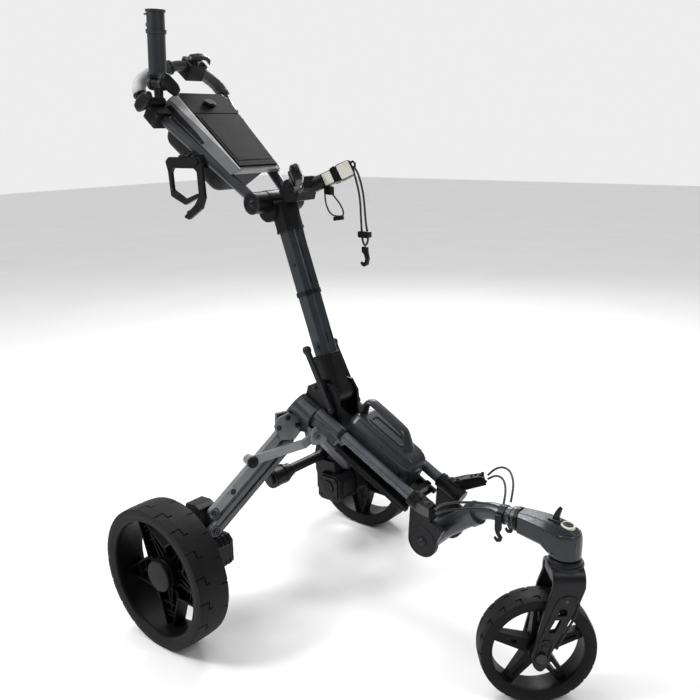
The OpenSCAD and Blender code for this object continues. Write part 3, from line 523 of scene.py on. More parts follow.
cord_points = {
    "bungee_cord": [(154, 71, 842), (158, 73, 836), (162, 75, 820), (166, 77, 800), (168, 78, 780),
                    (169, 78, 760), (170, 78, 740), (171, 78, 724), (173, 78, 712), (178, 78, 704),
                    (183, 80, 712), (181, 82, 726), (178, 82, 742), (176, 82, 760), (175, 81, 780),
                    (173, 80, 800), (169, 78, 820), (164, 76, 836), (158, 74, 846)],
    "strap_cord": [(122, 38, 806), (116, 40, 798), (113, 44, 786), (115, 46, 774), (121, 47, 764),
                   (131, 48, 759), (150, 48, 760), (152, 47, 770), (146, 45, 782), (138, 43, 792),
                   (130, 41, 802)],
    "low_cord_upper": [(446, 84, 312), (456, 90, 324), (472, 88, 333), (490, 78, 336), (505, 62, 334),
                       (516, 46, 329), (524, 28, 320), (528, 16, 311)],
    "low_cord_lower": [(446, 84, 305), (458, 86, 313), (472, 80, 318), (486, 68, 319), (498, 52, 317),
                       (507, 36, 313), (512, 24, 308), (514, 18, 303)],
    "upright_cord": [(86, -5, 783), (88, -5, 775), (91, -5, 758), (97, -5, 738), (104, -5, 715),
                     (113, -5, 690), (122, -5, 665), (131, -5, 640), (136, -5, 626)],
}


def make_cord(name, route, diameter, body, material, steps=3, place=CART, stands_for=(), **facts):
    path = smooth_path([place @ Vector(p) for p in route], steps)
    shape = Shape(Matrix.Identity(4)).tube(path, diameter / 2, 12)
    obj = piece(shape, name, body, material, soft_edge=0, stands_for=stands_for)


hook = Shape(CART)
hook.plate(rounded([(176, 664), (168, 669), (171, 675), (178, 672), (180, 679), (177, 688), (172, 692),
                    (172, 701.9), (184, 701.9), (184, 692), (187, 680), (184, 668)], 3),
           -81, -75, place=SIDE_ON)
hook_piece = piece(hook, "bungee_hook", "upright", "black_plastic", 1.0, segments=3, stands_for=["cord_ends"])
slider = Shape(CART)
slider.plate(rounded([(163.6, 718), (163.6, 730), (188, 730), (188, 718)], 3), -85.5, -74.5,
             place=SIDE_ON)
slider_piece = piece(slider, "bungee_slider", "upright", "black_plastic", 1.0)
toggle = Shape(CART @ move(132, 42, 750) @ turn(-8, "Y"))
toggle.plate(rounded(rectangle((0, 0), (18, 12)), 2.5), 0, 7)
for x in (4, 9, 14):
    toggle.box((x - 0.6, -0.5, 1), (x + 0.6, 12.5, 7.6))
toggle_piece = piece(toggle, "strap_toggle", "upright", "charcoal_plastic", 0.7, stands_for=["cord_ends"])
anchor = Shape(CART)
anchor.plate(rounded([(118, 799), (118, 814), (134, 812), (134, 797)], 2.5), -44.5, -34.5,
             place=SIDE_ON)
piece(anchor, "strap_anchor", "upright", "black_plastic", 0.8)

make_cord("bungee_cord", cord_points["bungee_cord"], 0.004, "upright", "cord_black", far_end="object",
          stiffness="limp", lay="hanging", stands_for=["upper_cords"], with_pieces=[hook_piece, slider_piece])
make_cord("strap_cord", cord_points["strap_cord"], 0.003, "upright", "cord_black", far_end="object",
          stiffness="limp", lay="hanging", stands_for=["upper_cords"], with_pieces=[toggle_piece])
for side in SIDES:
    for loop in ("upper", "lower"):
        make_cord("low_cord_" + loop + "_" + side, cord_points["low_cord_" + loop], 0.004, "lower_frame",
                  "cord_black", place=CART @ FLIP[side], far_end="object", stiffness="limp", lay="loose",
                  stands_for=["lower_cords"])
make_cord("upright_cord", cord_points["upright_cord"], 0.005, "upright", "cable_rubber", far_end="object",
          stiffness="medium", lay="taut", stands_for=["upright_cable"])


# ---------- CAD nodes that keep their shape ----------

for name, edge in {
    "hub_casting": 0.4, "upright_yoke": 1.5, "lower_tubes": 0.5, "side_rails": 1.2, "tube_clamps": 1.0,
    "battery_tray": 0.8, "pod_plates": 1.6, "front_arm": 1.2, "swivel_lock": 1.5,
    "fork_axle": 0.8, "lower_sleeve": 1.5, "hinge_head": 1.8, "hinge_barrel": 2.0, "cradle_block": 2.5,
    "control_pod": 2.5, "brake_lever": 2.5, "console_body": 2.0, "console_lid": 0.8,
    "holder_clip": 1.5, "umbrella_stem": 1.2, "umbrella_tube": 0.7,
}.items():
    dress(name, soft_edge=edge, segments=3 if edge > 1.4 else 2)
for side in SIDES:
    dress("leg_main_" + side, soft_edge=1.8, segments=3)
    dress("leg_upper_" + side, "plate_paint", 1.5, segments=3)
    dress("cross_link_" + side, "plate_paint", 1.2)
    dress("drive_" + side, soft_edge=2.5, segments=3)
    dress("side_link_" + side, soft_edge=1.5)
dress("upright_tube", "upright_paint", 1.5, segments=3)
dress("handle_tube", "handle_paint", 0.1)
dress("storage_bin", "bin_black", 1.0)
dress("leg_plates", "plate_paint", 1.2)
dress("link_brackets", "plate_paint", 1.0)
dress("brake_unit", "black_plastic", 2.5, segments=3)
dress("umbrella_clamp", soft_edge=4.0, segments=4)
dress("lower_cradle", soft_edge=2.0, segments=3)


# ---------- wheels ----------


def relief(shape, turns, rows, columns, groove, raised, base):
    """Raised blocks round a wheel. columns are fractions of one pitch, rows heights along the axle."""
    count = len(columns) - 1
    total = turns * count
    index = {}

    def corner(i, j, top):
        key = (i % total, j, top)
        if key not in index:
            a = 2 * math.pi * ((i % total) // count + columns[(i % total) % count]) / turns
            r = raised(rows[j]) if top else base
            index[key] = len(shape.verts)
            shape.verts.append(shape.place @ Vector((r * math.cos(a), r * math.sin(a), rows[j])))
        return index[key]

    def solid(i, j):
        return 0 <= j < len(rows) - 1 and not groove(i % count, j)

    for i in range(total):
        for j in range(len(rows) - 1):
            if not solid(i, j):
                continue
            for top in (True, False):
                quad = [corner(i, j, top), corner(i + 1, j, top), corner(i + 1, j + 1, top),
                        corner(i, j + 1, top)]
                shape.faces.append(tuple(quad if top else reversed(quad)))
            for (di, dj), (p, q) in {(-1, 0): ((0, 0), (0, 1)), (1, 0): ((1, 1), (1, 0)),
                                     (0, -1): ((1, 0), (0, 0)), (0, 1): ((0, 1), (1, 1))}.items():
                if not solid(i + di, j + dj):
                    a, b = (i + p[0], j + p[1]), (i + q[0], j + q[1])
                    shape.faces.append((corner(*a, True), corner(*b, True), corner(*b, False),
                                        corner(*a, False)))


def tyre(name, body, place, r, inner, width, turns, columns, rows, groove, stands_for, crown):
    shape = Shape(place)
    h = width / 2
    side = [(inner - 1, -h + 2.5), (inner + 3, -h + 0.6), (r - 9, -h), (r - 5, -h + 0.3), (r - 3.4, -h + 1.2)]
    shape.hoop(side + [(r - 3.4, h - 1.2)] + [(q, -z) for q, z in reversed(side[:-1])], 120)
    for s in (-1, 1):       # a bead line on each side wall
        shape.hoop([(r - 12.5, s * (h - 0.6)), (r - 11.5, s * (h + 0.4)), (r - 10.5, s * (h - 0.6))], 96)

    def crowned(z):
        return r - crown * max(0.0, abs(z) - h * 0.72) / (h * 0.28)

    relief(shape, turns, rows, columns, groove, crowned, r - 5)
    piece(shape, name, body, "tyre_rubber", 0.5, angle=40, stands_for=stands_for)


rear_rows = [-32.4, -30, -18, -6, 5, 13, 15.4, 30, 32.4]
rear_columns = [0, 0.045, 0.17, 0.31, 0.355, 0.48, 0.6, 0.645, 0.82, 1.0]


def rear_groove(i, j):
    """Z-shaped sipes from the outer edge, and short ones from the inner edge."""
    return (i == 0 and j >= 6) or (i < 4 and j == 5) or (i == 3 and j == 4) or (i == 6 and j <= 1)


front_rows = [-22.4, -20, -12, -9, 0, 9, 12, 20, 22.4]
front_columns = [0, 0.09, 0.36, 0.5, 0.59, 0.86, 1.0]


def front_groove(i, j):
    return (i == 0 and j >= 5) or (i == 3 and j <= 2) or (i == 1 and j == 5) or (i == 4 and j == 2)


def rear_rim(side):
    place = REAR_WHEEL[side]
    shape = Shape(place)
    shape.hoop([(109, -30), (108, -22), (110, 0), (108.5, 22), (110, 29), (112.5, 31.5), (115.6, 31.5),
                (115.6, -31.5), (112, -31.5)], 96)
    for k in range(5):
        spin = place @ turn(90 + 72 * k, "Z")
        # one arm of the star: its web, two edge ribs meeting at the rim, and cross ribs
        shape.plate([(26, -24), (43, -30), (110, -7), (110, 7), (43, 30), (26, 24)], -18, -13, place=spin)
        for s in (-1, 1):
            shape.plate([(41, s * 28.2), (43.5, s * 31.6), (111, s * 9.5), (111, s * 6.0)], -27, 1,
                        place=spin)
            shape.plate([(28, s * 16.4), (30, s * 19.5), (45, s * 31.8), (44, s * 28.5)], -27, -1, place=spin)
            shape.plate([(26, s * 5), (27, s * 8), (80, s * 2.2), (80, s * -0.6)], -20, -6, place=spin)
        for x, half in ((66, 19.8), (84, 14.4), (92, 12)):
            shape.plate([(x, -half), (x + 2, -half + 0.6), (x + 2, half - 0.6), (x, half)], -20, -4,
                        place=spin)
    shape.lathe([(31, -29), (31, 8), (29.5, 9)], 48)
    piece(shape, "rim_detail_" + side, "wheel_" + side, "rim_black", 0.6, stands_for=["rim_" + side])
    cap = Shape(place).lathe([(28, 6), (30, 8), (30, 17), (28.8, 18.4), (26, 18.9), (0.4, 19.6)], 64)
    piece(cap, "hub_cap_" + side, "wheel_" + side, "hub_grey", 0.5)


for side in SIDES:
    rear_rim(side)
    tyre("tyre_detail_" + side, "wheel_" + side, REAR_WHEEL[side], REAR_RADIUS, inner=115, width=66, turns=18,
         columns=rear_columns, rows=rear_rows, groove=rear_groove, stands_for=["tyre_" + side], crown=1.6)

front = Shape(FRONT_WHEEL)
front.hoop([(75, -19), (73.5, -12), (75.5, 0), (73.5, 12), (75, 19), (78, 20), (80.6, 20), (80.6, -20),
            (78, -20)], 96)
for k in range(5):
    front.plate(rounded([(12, -12.5), (30, -11), (77, -7.5), (77, 7.5), (30, 11), (12, 12.5)], 2), -11, 11,
                place=FRONT_WHEEL @ turn(18 + 72 * k, "Z"),
                holes=[rounded([(36, -3.4), (66, -2.0), (66, 2.0), (36, 3.4)], 1.5, 2)],
                taper=lambda x, y, z: (x, y, z * (1.0 - 0.35 * max(0, x - 12) / 65)))
front.lathe([(16.4, -26.4), (17, -25), (17, 25), (16.4, 26.4)], 48)
piece(front, "front_rim_detail", "front_wheel", "rim_black", 0.8, stands_for=["front_rim"])
tyre("front_tyre_detail", "front_wheel", FRONT_WHEEL, FRONT_RADIUS, inner=80, width=46, turns=20,
     columns=front_columns, rows=front_rows, groove=front_groove, stands_for=["front_tyre"], crown=2.6)


# ---------- fork ----------


def fork_station(s):
    """Centre (y, z), outward normal, fore-aft centre and half width at a share s up and over."""
    side = -1 if s < 0.5 else 1
    t = s if s < 0.5 else 1 - s
    bottom, shoulder, y0, r = 70.0, 226.0, 31.0, 16.0
    rise = (t / 0.5) * (shoulder - bottom + r * math.pi / 2 + (y0 - r))
    if rise < shoulder - bottom:
        y, z, nx = y0, bottom + rise, (1.0, 0.0)
    elif rise < shoulder - bottom + r * math.pi / 2:
        a = (rise - (shoulder - bottom)) / r
        y, z, nx = y0 - r + r * math.cos(a), shoulder + r * math.sin(a), (math.cos(a), math.sin(a))
    else:
        y, z, nx = y0 - r - (rise - (shoulder - bottom) - r * math.pi / 2), shoulder + r, (0.0, 1.0)
    foot = 14.5
    up = min(1.0, max(0.0, (z - FRONT_RADIUS) / 120))
    centre = AXLE_AHEAD + 39 * up
    half = foot + 11.5 * min(1.0, up * 1.25)
    if z < FRONT_RADIUS:            # the rounded foot
        half = math.sqrt(max(4.0, foot ** 2 - (FRONT_RADIUS - z) ** 2 * (foot ** 2 - 16) / 26 ** 2))
    return side * y, z, (side * nx[0], nx[1]), centre, half


fork = Shape(FORK)
rings = []
for i in range(81):
    y, z, (ny, nz), centre, half = fork_station(i / 80)
    ring = []
    for dx, dn in ((-half, -2.6), (-half + 2.5, -4), (half - 2.5, -4), (half, -2.6),
                   (half, 2.6), (half - 2.5, 4), (-half + 2.5, 4), (-half, 2.6)):
        ring.append((centre + dx, y + ny * dn, z + nz * dn))
    rings.append(ring)
fork.loft(rings)
fork_piece = piece(fork, "fork_shell", "fork", "charcoal_plastic", 0, stands_for=["fork"], smooth=60)


def cut_away(obj, cutter):
    """Cuts a closed shape out of a piece and keeps the result as its mesh."""
    tool = in_scene("cutter", closed_mesh("cutter", cutter))
    cut = obj.modifiers.new("cut", "BOOLEAN")
    cut.operation = "DIFFERENCE"
    cut.solver = "EXACT"
    cut.object = tool
    bpy.context.view_layer.update()
    graph = bpy.context.evaluated_depsgraph_get()
    result = bpy.data.meshes.new_from_object(obj.evaluated_get(graph))
    obj.modifiers.clear()
    obj.data = result
    bpy.data.objects.remove(tool)


window = Shape(FORK @ turn(90, "X"))
window.plate(rounded([(-31, 140), (-20, 140), (-10, 163), (-20, 163)], 2), -60, 60)
window.plate(arc(-9, 176, 7, -20, 200, 8) + [(-18, 170), (-4, 170)], -60, 60)
cut_away(fork_piece, window)
finish_mesh(fork_piece, 0.5, 35, 2, 50)

trim = Shape(FORK)
trim.lathe([(27, 236), (27, 250), (25, 254), (20, 256.5)], 48)
trim.lathe([(29, 240), (29.6, 242), (29.6, 246), (29, 248)], 48)
trim.plate(rounded(rectangle((-26, -27), (22, 27)), 6), 224, 238)
for s in (-1, 1):
    side_place = FORK @ flip(s) @ turn(90, "X")
    # a raised arch on the leg's face, open downwards, and a long loop round the axle
    outer = [(-47, 118), (-24, 186)] + arc(-2, 186, 20, 150, 20, 10) + [(13, 172), (-15, 110)]
    inner = [(-43.5, 117), (-20.5, 184)] + arc(-2, 185, 16, 150, 20, 10) + [(9.5, 172), (-18.5, 112)]
    trim.plate(outer + list(reversed(inner)), -36.6, -34, place=side_place)
    slot_line = arc(-40, 94, 12, 200, 360, 8) + arc(-33, 117, 11, 0, 160, 8)
    slot_inner = arc(-40, 94, 9.6, 200, 360, 8) + arc(-33, 117, 8.6, 0, 160, 8)
    trim.plate(slot_line, -36.8, -34, place=side_place, holes=[slot_inner])
    trim.lathe([(5.6, 35), (5.6, 36.2), (4.2, 36.4)], 24, place=FORK @ flip(s)
               @ move(-35, 0, 113) @ turn(-90, "X"))
piece(trim, "fork_trim", "fork", "charcoal_plastic", 0.5)
axle = Shape(FORK)
for s in (-1, 1):
    axle.screw((AXLE_AHEAD, s * 35, FRONT_RADIUS), (0, s, 0), 10, 3)
    axle.lathe([(3.4, 34.8), (3.4, 35.4), (2.6, 35.6)], 16, place=FORK @ flip(s)
               @ move(-4, 0, 196) @ turn(-90, "X"))
piece(axle, "fork_screws", "fork", "black_steel", 0.2)
frame["nodes"]["fork_axle"].data.materials[0] = MATS["black_steel"]


# ---------- front head ----------

head = Shape(CART)
sections = [(556, 17, 275, 312, 4), (572, 19, 273, 313, 5), (600, 22.5, 270, 313, 6),
            (612, 23.5, 260, 312.5, 7), (636, 24.5, 257.4, 309.5, 9), (648, 20, 257.4, 305, 8),
            (657, 12, 258, 298, 6)]
rings = []
for x, half, low, high, cut in sections:
    mid = (low + high) / 2
    rings.append([(x, -half + cut, low), (x, half - cut, low), (x, half, low + cut), (x, half + 0.8, mid),
                  (x, half, high - cut * 1.6), (x, half - cut * 1.3, high), (x, -half + cut * 1.3, high),
                  (x, -half, high - cut * 1.6), (x, -half - 0.8, mid), (x, -half, low + cut)])
head.loft(rings)
head.lathe([(23.6, 257.4), (24.4, 259), (24.4, 292), (22, 300)], 48, place=CART @ move(635, 0, 0))
head.box((604, -7, 309), (626, 7, 315.4))
piece(head, "steering_head_detail", "front_arm", "head_paint", 1.4, segments=3,
      stands_for=["steering_head"])
HEAD_TOP = CART @ move(636, 0, 306.5) @ turn(6, "Y")
cap = Shape(HEAD_TOP)
cap.hoop([(8.6, 0), (8.6, 4.4), (9.8, 4.8), (11.6, 4.4), (11.6, 0)], 48)
piece(cap, "head_cap_ring", "front_arm", "pad_rubber", 0.3)
cap = Shape(HEAD_TOP)
cap.lathe([(8.8, -2), (8.8, 3.4), (3.2, 3.6), (2.6, 2.8), (1.4, 2.8)], 48)
piece(cap, "head_cap", "front_arm", "black_plastic", 0.3)
collars = Shape(CART)
for x0, x1, r in ((549, 556, 20.5), (541, 546, 18.2), (519, 531, 16.6)):
    collars.hoop(rectangle((14, x0), (r, x1)), 48, place=CART @ move(0, 0, 294.5) @ turn(90, "Y"))
piece(collars, "arm_collars", "front_arm", "black_plastic", 0.8)
tie = Shape(SIDE_ON)
for s in (-1, 1):
    low, high = sorted((s * 17, s * 20.6))
    tie.plate(rounded([(519, 300), (531, 300), (531, 276), (527, 268), (533, 262), (531, 254), (523, 252),
                       (518, 257), (519, 261), (523, 257), (527, 259), (522, 266), (519, 274)], 2.5),
              low, high)
piece(tie, "arm_hooks", "front_arm", "black_plastic", 0.9, segments=3)
brake = Shape(CART)
along = CART @ move(-26, 0, 203) @ turn(-90, "X")
for r, low, high in ((21.2, 9, 13), (21.2, 38, 44), (17.4, 49, 54), (12.6, 64, 69), (12.6, 150, 156)):
    brake.hoop(rectangle((9, low), (r, high)), 48, place=along)
brake.lathe([(13.6, 56), (14.4, 57), (14.4, 62), (13.6, 63)], 6, place=along)
brake.lathe([(9, -0.4), (12, 1), (12, 6.4)], 32, place=along)
piece(brake, "brake_rings", "drive_left", "charcoal_plastic", 0.5)


# ---------- screws and pins ----------

screws = Shape(CART)
for s in (-1, 1):
    screws.screw((140, s * 31, 447), (0, s, 0), 8, 4)
    screws.screw((170, s * 31, 436), (0, s, 0), 11, 3.5)
    screws.screw((393, s * 46, 220), (0, s, 0), 11, 3.0)
    screws.screw((426, s * 46, 252), (0, s, 0), 5, 2, washer=False)
piece(screws, "frame_pins", "lower_frame", "black_steel", 0.2, stands_for=["frame_screws"])
for side in SIDES:
    place = LEG[side]
    pins = Shape(place)
    for y, z in ((46, 380), (66, 364), (26, 361)):
        pins.screw((11.7, y, z), (1, 0, 0), 7, 3)
    pins.screw((76.5, 20.5, 358), (1, 0, 0), 8, 3.5)
    piece(pins, "plate_screws_" + side, "lower_frame", "black_steel", 0.2, stands_for=["frame_screws"])
    pins = Shape(place)
    pins.screw((7.5, 207, 186), (1, 0, 0), 9, 3.5)
    pins.screw((7.5, 207, 223), (1, 0, 0), 8, 3.5)
    piece(pins, "drive_pins_" + side, "drive_" + side, "black_steel", 0.2)
    up = Shape(place @ move(0, 50, 356) @ turn(-math.degrees(math.atan2(133, 157)), "X"))
    up.screw((11.5, 153, 2), (1, 0, 0), 8, 3)
    up.screw((6.5, 89, 14), (1, 0, 0), 10, 8.5)
    piece(up, "boss_screws_" + side, "leg_upper_" + side, "black_steel", 0.2)
    for z in (223, 186):
        rings = Shape(place @ move(0, 207, z) @ turn(90, "Y"))
        rings.hoop([(8, 6.4), (11.2, 6.4), (11.2, 8.2), (10.4, 8.8), (8, 8.8)], 40)
        piece(rings, "tip_ring_%s_%d" % (side, z), "drive_" + side, "charcoal_paint", 0.3)
    ring = Shape(place)
    ring.lathe([(10.4, 15.4), (11.2, 16), (11.2, 20.6), (10.2, 21.6), (6, 21.8)], 40,
               place=place @ move(0, 128, 311) @ turn(90, "Y"))
    ring.screw((21.6, 128, 311), (1, 0, 0), 9, 3)
    piece(ring, "link_end_boss_" + side, "cross_link_" + side, "black_plastic", 0.5)
    face = Shape(place @ Matrix(((0, 0, 1, 0), (1, 0, 0, 0), (0, 1, 0, 0), (0, 0, 0, 1))))
    face.plate(rounded([(35, 352), (31, 342), (8, 340), (-5, 352), (-4, 378), (9, 386), (30, 373)], 3),
               74.7, 77.6, holes=[arc(20.5, 358, 8.7, 0, 345, 23)])
    piece(face, "bracket_face_" + side, "lower_frame", "grey_paint_light", 0.8)
    links = Shape(CART @ FLIP[side])
    links.screw((130, 41.5, 520), (0, 1, 0), 8, 3)
    links.screw((186, 41.5, 414), (0, 1, 0), 7, 3)
    piece(links, "link_pins_" + side, "side_link_" + side, "black_steel", 0.2)


# ---------- hub, tubes and battery ----------

hub = Shape(CART)
slots = Shape(CART)
for side in SIDES:
    a, b = CART @ FLIP[side] @ Vector((104, 32, 411)), CART @ FLIP[side] @ Vector((143, 32, 390.7))
    place = toward(a, b) @ Matrix.Scale(0.001, 4)
    hub.hoop([(20, -1.2), (23.3, -1.2), (23.3, 3.2), (22.4, 3.6), (20, 3.6)], 64, place=place)
    hub.hoop(rectangle((20, 40), (23.3, 44.6)), 64, place=place)
    hub.lathe([(15, -2.2), (17, -0.6), (17, 1)], 48, place=place)
    for x in (8, -8):
        slots.tube([(x, 20.2, 7), (x, 20.2, 37)], 1.5, 8, place=place)
piece(hub, "hub_rings", "lower_frame", "charcoal_paint", 0.6)
piece(slots, "hub_slots", "lower_frame", "black_plastic", 0)

fittings = Shape(TUBES)
for s in (-1, 1):
    fittings.hoop([(9, 0), (12.6, 0), (12.6, 7), (11, 8.6), (9, 8.6)], 48,
                  place=TUBES @ move(8, s * 45, 0) @ turn(90, "Y"))
    for x in (188, 229):
        fittings.hoop(rectangle((13, 0), (15, 3)), 48,
                      place=TUBES @ move(x, s * 45, 0) @ turn(90, "Y"))
    fittings.box((198, s * 45 - 6, 11), (222, s * 45 + 6, 17))
piece(fittings, "tube_fittings", "lower_frame", "black_plastic", 0.8)

shell = Shape(TUBES)
section = rounded([(-25, -34), (25, -34), (33, -26), (33, 26), (22, 41), (-22, 41), (-33, 26), (-33, -26)],
                  7, 3)
shell.loft([[(x, y * (33 - inset) / 33, 3 + (z - 3) * (38 - inset) / 38) for y, z in section]
            for x, inset in ((2, 15), (3.5, 9), (7, 4.6), (12, 1.8), (20, 0), (76, 0), (132, 0.4), (142, 2),
                             (149, 5), (154, 10), (156, 16))])
piece(shell, "battery_shell", "lower_frame", "battery_case", 0.5, stands_for=["battery_pack"])
arch_path = smooth_path([(10, 0, 30), (8.5, 0, 44), (9, 0, 56), (12, 0, 63), (19, 0, 66.5), (40, 0, 66.5),
                         (66, 0, 65.6), (92, 0, 64), (100, 0, 61.5), (107, 0, 56), (122, 0, 42),
                         (131, 0, 32)], 5)
arch = Shape(TUBES).tube(arch_path, 5.2, 28, flat=2.3, up=(1, 0, 0.2))
piece(arch, "battery_arch", "lower_frame", "battery_case", 0, stands_for=["battery_pack"], smooth=60)
battery = Shape(TUBES)
for s in (-1, 1):
    flank = TUBES @ flip(s) @ turn(90, "X") @ Matrix.Diagonal((1, 1, -1, 1))
    battery.plate(rounded([(22, -20), (132, -20), (138, -13), (138, 9), (130, 19), (28, 22), (22, 15)], 5),
                  32.4, 34.0, place=flank)
    battery.tube([(20, s * 26.5, 36), (76, s * 26.5, 36), (134, s * 26.2, 35.6)], 1.3, 8)
    battery.tube([(20, s * 32.8, -24), (134, s * 32.8, -24)], 1.2, 8)
    battery.plate(rounded(rectangle((104, 2), (112, 12)), 1.5), 33.6, 35.0, place=flank)
battery.plate(rounded(rectangle((30, -13), (112, 13)), 6), 39, 42.4, holes=[
    rounded(rectangle((34, -9), (108, 9)), 4)])
battery.box((140, -14, -6), (157.6, 14, 12))
piece(battery, "battery_relief", "lower_frame", "battery_case", 0.8)


# ---------- pods, lower cradle ----------

pods = Shape(CART)
for s in (-1, 1):
    place = CART @ flip(s) @ move(393, 46, 220) @ turn(-90, "X")
    pods.hoop([(26, -1), (26, 0.8), (27.2, 1.3), (28.6, 0.4), (28.6, -1)], 64, place=place)
    pods.lathe([(9.5, -1), (9.5, 1.2), (8.6, 1.8)], 40, place=place)
piece(pods, "pod_rings", "lower_frame", "charcoal_plastic", 0.4)

for side in SIDES:
    arm = Shape(LOW_CRADLE[side])
    for y in (-8.5, 8.5):
        arm.tube([(-28, y, 8), (0, y, 8.4), (27, y * 0.8, 6.4)], 1.4, 8)
    for x in (-22, -12, 12, 20):
        arm.box((x, -8, 5), (x + 2.4, 8, 9.2))
    arm.plate(rounded(rectangle((-8, -6), (8, 6)), 2), 6, 9)
    arm.tube([(24, 0, 4), (30, 4, 9), (31, 8, 6)], 2.6, 10)
    arm.tube([(24, 0, -4), (31, -4, -6), (33, -8, -3)], 2.4, 10)
    arm.screw((-16, 0, 8.6), (0, 0, 1), 6, 2.2)
    arm.screw((10, 0, 8.6), (0, 0, 1), 5, 2.2)
    piece(arm, "low_cradle_detail_" + side, "lower_frame", "black_plastic", 0.6)


# ---------- upright ----------

slits = Shape(UPRIGHT)
for z in (96, 210, 262):
    for s in (-1, 1):
        slits.box((19.2, s * 6 - 1.6, z), (20.0, s * 6 + 1.6, z + 20))
for s in (-1, 1):
    for z in (92, 250):
        slits.lathe([(3, 19), (3, 20.2), (2, 20.8)], 16, place=UPRIGHT @ move(4, 0, z) @ turn(-90 * s, "X"))
piece(slits, "upright_slits", "upright", "black_plastic", 0.3)


def collar(shape, flat, half, low, high):
    """A band with cut corners round the upright."""
    ring = [(-flat, -half), (flat, -half), (half, -flat), (half, flat), (flat, half), (-flat, half),
            (-half, flat), (-half, -flat)]
    shape.loft([[(x, y, z) for x, y in ring] for z in (low, high)])


clip = Shape(UPRIGHT)
collar(clip, 12, 21, 190, 199)
piece(clip, "upright_clip", "upright", "black_plastic", 0.6)
bands = Shape(UPRIGHT)
for low, high in ((70, 76.4), (313.6, 319)):
    collar(bands, 13.6, 22.8, low, high)
piece(bands, "sleeve_bands", "upright", "black_plastic", 0.8)
knuckle = Shape(CART)
for s in (-1, 1):
    knuckle.hoop(rectangle((17, 0), (20.4, 1.6)), 48,
                 place=CART @ flip(s) @ move(HINGE[0], 59, HINGE[2]) @ turn(-90, "X"))
    knuckle.screw((HINGE[0], s * 60, HINGE[2]), (0, s, 0), 9, 3)
piece(knuckle, "hinge_caps", "handle", "black_steel", 0.4)


# ---------- upper cradle ----------

for side in SIDES:
    place = TOP_CRADLE[side]
    arm = Shape(place)
    arm.plate(rounded([(-2, -11), (20, -12), (47, -12), (52, -15), (74, -14), (78, -9), (78, 11), (74, 15),
                       (52, 16), (47, 13), (20, 13), (-2, 11)], 3), -10, 1.6)
    for x in (28, 56):
        arm.plate(rounded(rectangle((x, -9), (x + 14, 9)), 2), -12, -9)
    arm.tube([(76, 9, -4), (82, 10, -4), (84, 5, -4), (82, 0, -4), (76, 0, -4)], 2.4, 10)
    arm.screw((73, -8, 1.6), (0, 0, 1), 4.5, 1.6, washer=False)
    piece(arm, "cradle_arm_" + side, "upright", "charcoal_plastic", 1.0, stands_for=["cradle_arms"])
    strap = Shape(place)
    strap.plate(rounded([(37.5, -13.4), (48, -14.4), (48, 15.4), (37.5, 14.4)], 1.5), -12.4, 4.4)
    piece(strap, "cradle_strap_" + side, "upright", "black_plastic", 1.2, segments=3)
    pads = Shape(place)
    for start, length, low, high in ((19, 17, -11, 11), (50, 24, -13.5, 13.5)):
        pads.plate(rounded(rectangle((start, low), (start + length, high)), 2.5, 4),
                   1.2, 4.2)
        across, along = int((high - low - 2) / 2.2), int((length - 2) / 2.2)
        for i in range(along + 1):
            for j in range(across + 1):
                x = start + 1.4 + i * (length - 2.8) / along
                y = low + 1.6 + j * (high - low - 3.2) / across
                pads.lathe([(0.72, 3.9), (0.66, 4.7), (0.3, 5.0)], 8, place=place @ move(x, y, 0))
    pad = piece(pads, "cradle_pad_" + side, "upright", "pad_rubber", 0.35, angle=50,
                stands_for=["cradle_pads"])


# ---------- handle ----------

half_loop = [(-12, 48, 0), (-60, 57, 0), (-120, 69, 0), (-180, 81, 0), (-235, 92, 0), (-280, 102, 1),
             (-304, 106, 4), (-321, 104, 11), (-333, 94, 19), (-339, 78, 27), (-341, 60, 35), (-341, 38, 45),
             (-341, 14, 52)]
loop_curve = smooth_path(half_loop + [(x, -y, z) for x, y, z in reversed(half_loop)], 4)
# the near part carries a painted highlight: light grey on the otherwise dark grip
for first, last, name, material in ((26, 47, "far", "grip_dark"), (55, 62, "middle", "grip_dark"),
                                    (62, 75, "near", "grip_leather")):
    grip = Shape(HANDLE)
    part = loop_curve[first:last + 1]
    radii = [13.0 + 0.35 * math.sin(i * 1.9) for i in range(len(part))]
    radii[0] = radii[-1] = 11.8
    grip.tube(part, radii, 28)
    piece(grip, "grip_" + name, "handle", material, 0.6, angle=50, stands_for=["handle_grip"],
          smooth=70)
seam = Shape(HANDLE)
lower_side = [Vector(p) + Vector((5.5, 0, -11.6)) for p in loop_curve[63:75]]
seam.tube(lower_side, 0.7, 6)
piece(seam, "grip_seam", "handle", "black_plastic", 0)
ends = Shape(HANDLE)
for index in (26, 47, 55, 75):
    p, q = Vector(loop_curve[index]), Vector(loop_curve[index + (1 if index in (26, 55) else -1)])
    ends.lathe([(10.4, -2), (13.6, -2), (13.9, 0), (13.6, 2.4), (10.4, 2.4)], 32, place=HANDLE @ toward(p, q))
piece(ends, "grip_collars", "handle", "black_plastic", 0.5)
holder_screws = Shape(HANDLE)
for x, y in ((-256, 96.8), (-228, 90.6)):
    holder_screws.screw((x, y, 9.6), (0, 0, 1), 7, 3)
piece(holder_screws, "handle_screws", "handle", "black_steel", 0.2)


def console_facet(s, u, v, lift):
    """A point on the console's long side facet: u up the handle, v from its top edge down."""
    top_a, top_b = Vector((-60, s * 50, 25.8)), Vector((-274, s * 60, 36.6))
    side_a, side_b = Vector((-68, s * 64, 10.3)), Vector((-272, s * 84, 10.3))
    out = (top_b - top_a).cross(side_a - top_a).normalized()
    out = out if out.y * s > 0 else -out
    return top_a.lerp(top_b, u).lerp(side_a.lerp(side_b, u), v) + out * lift


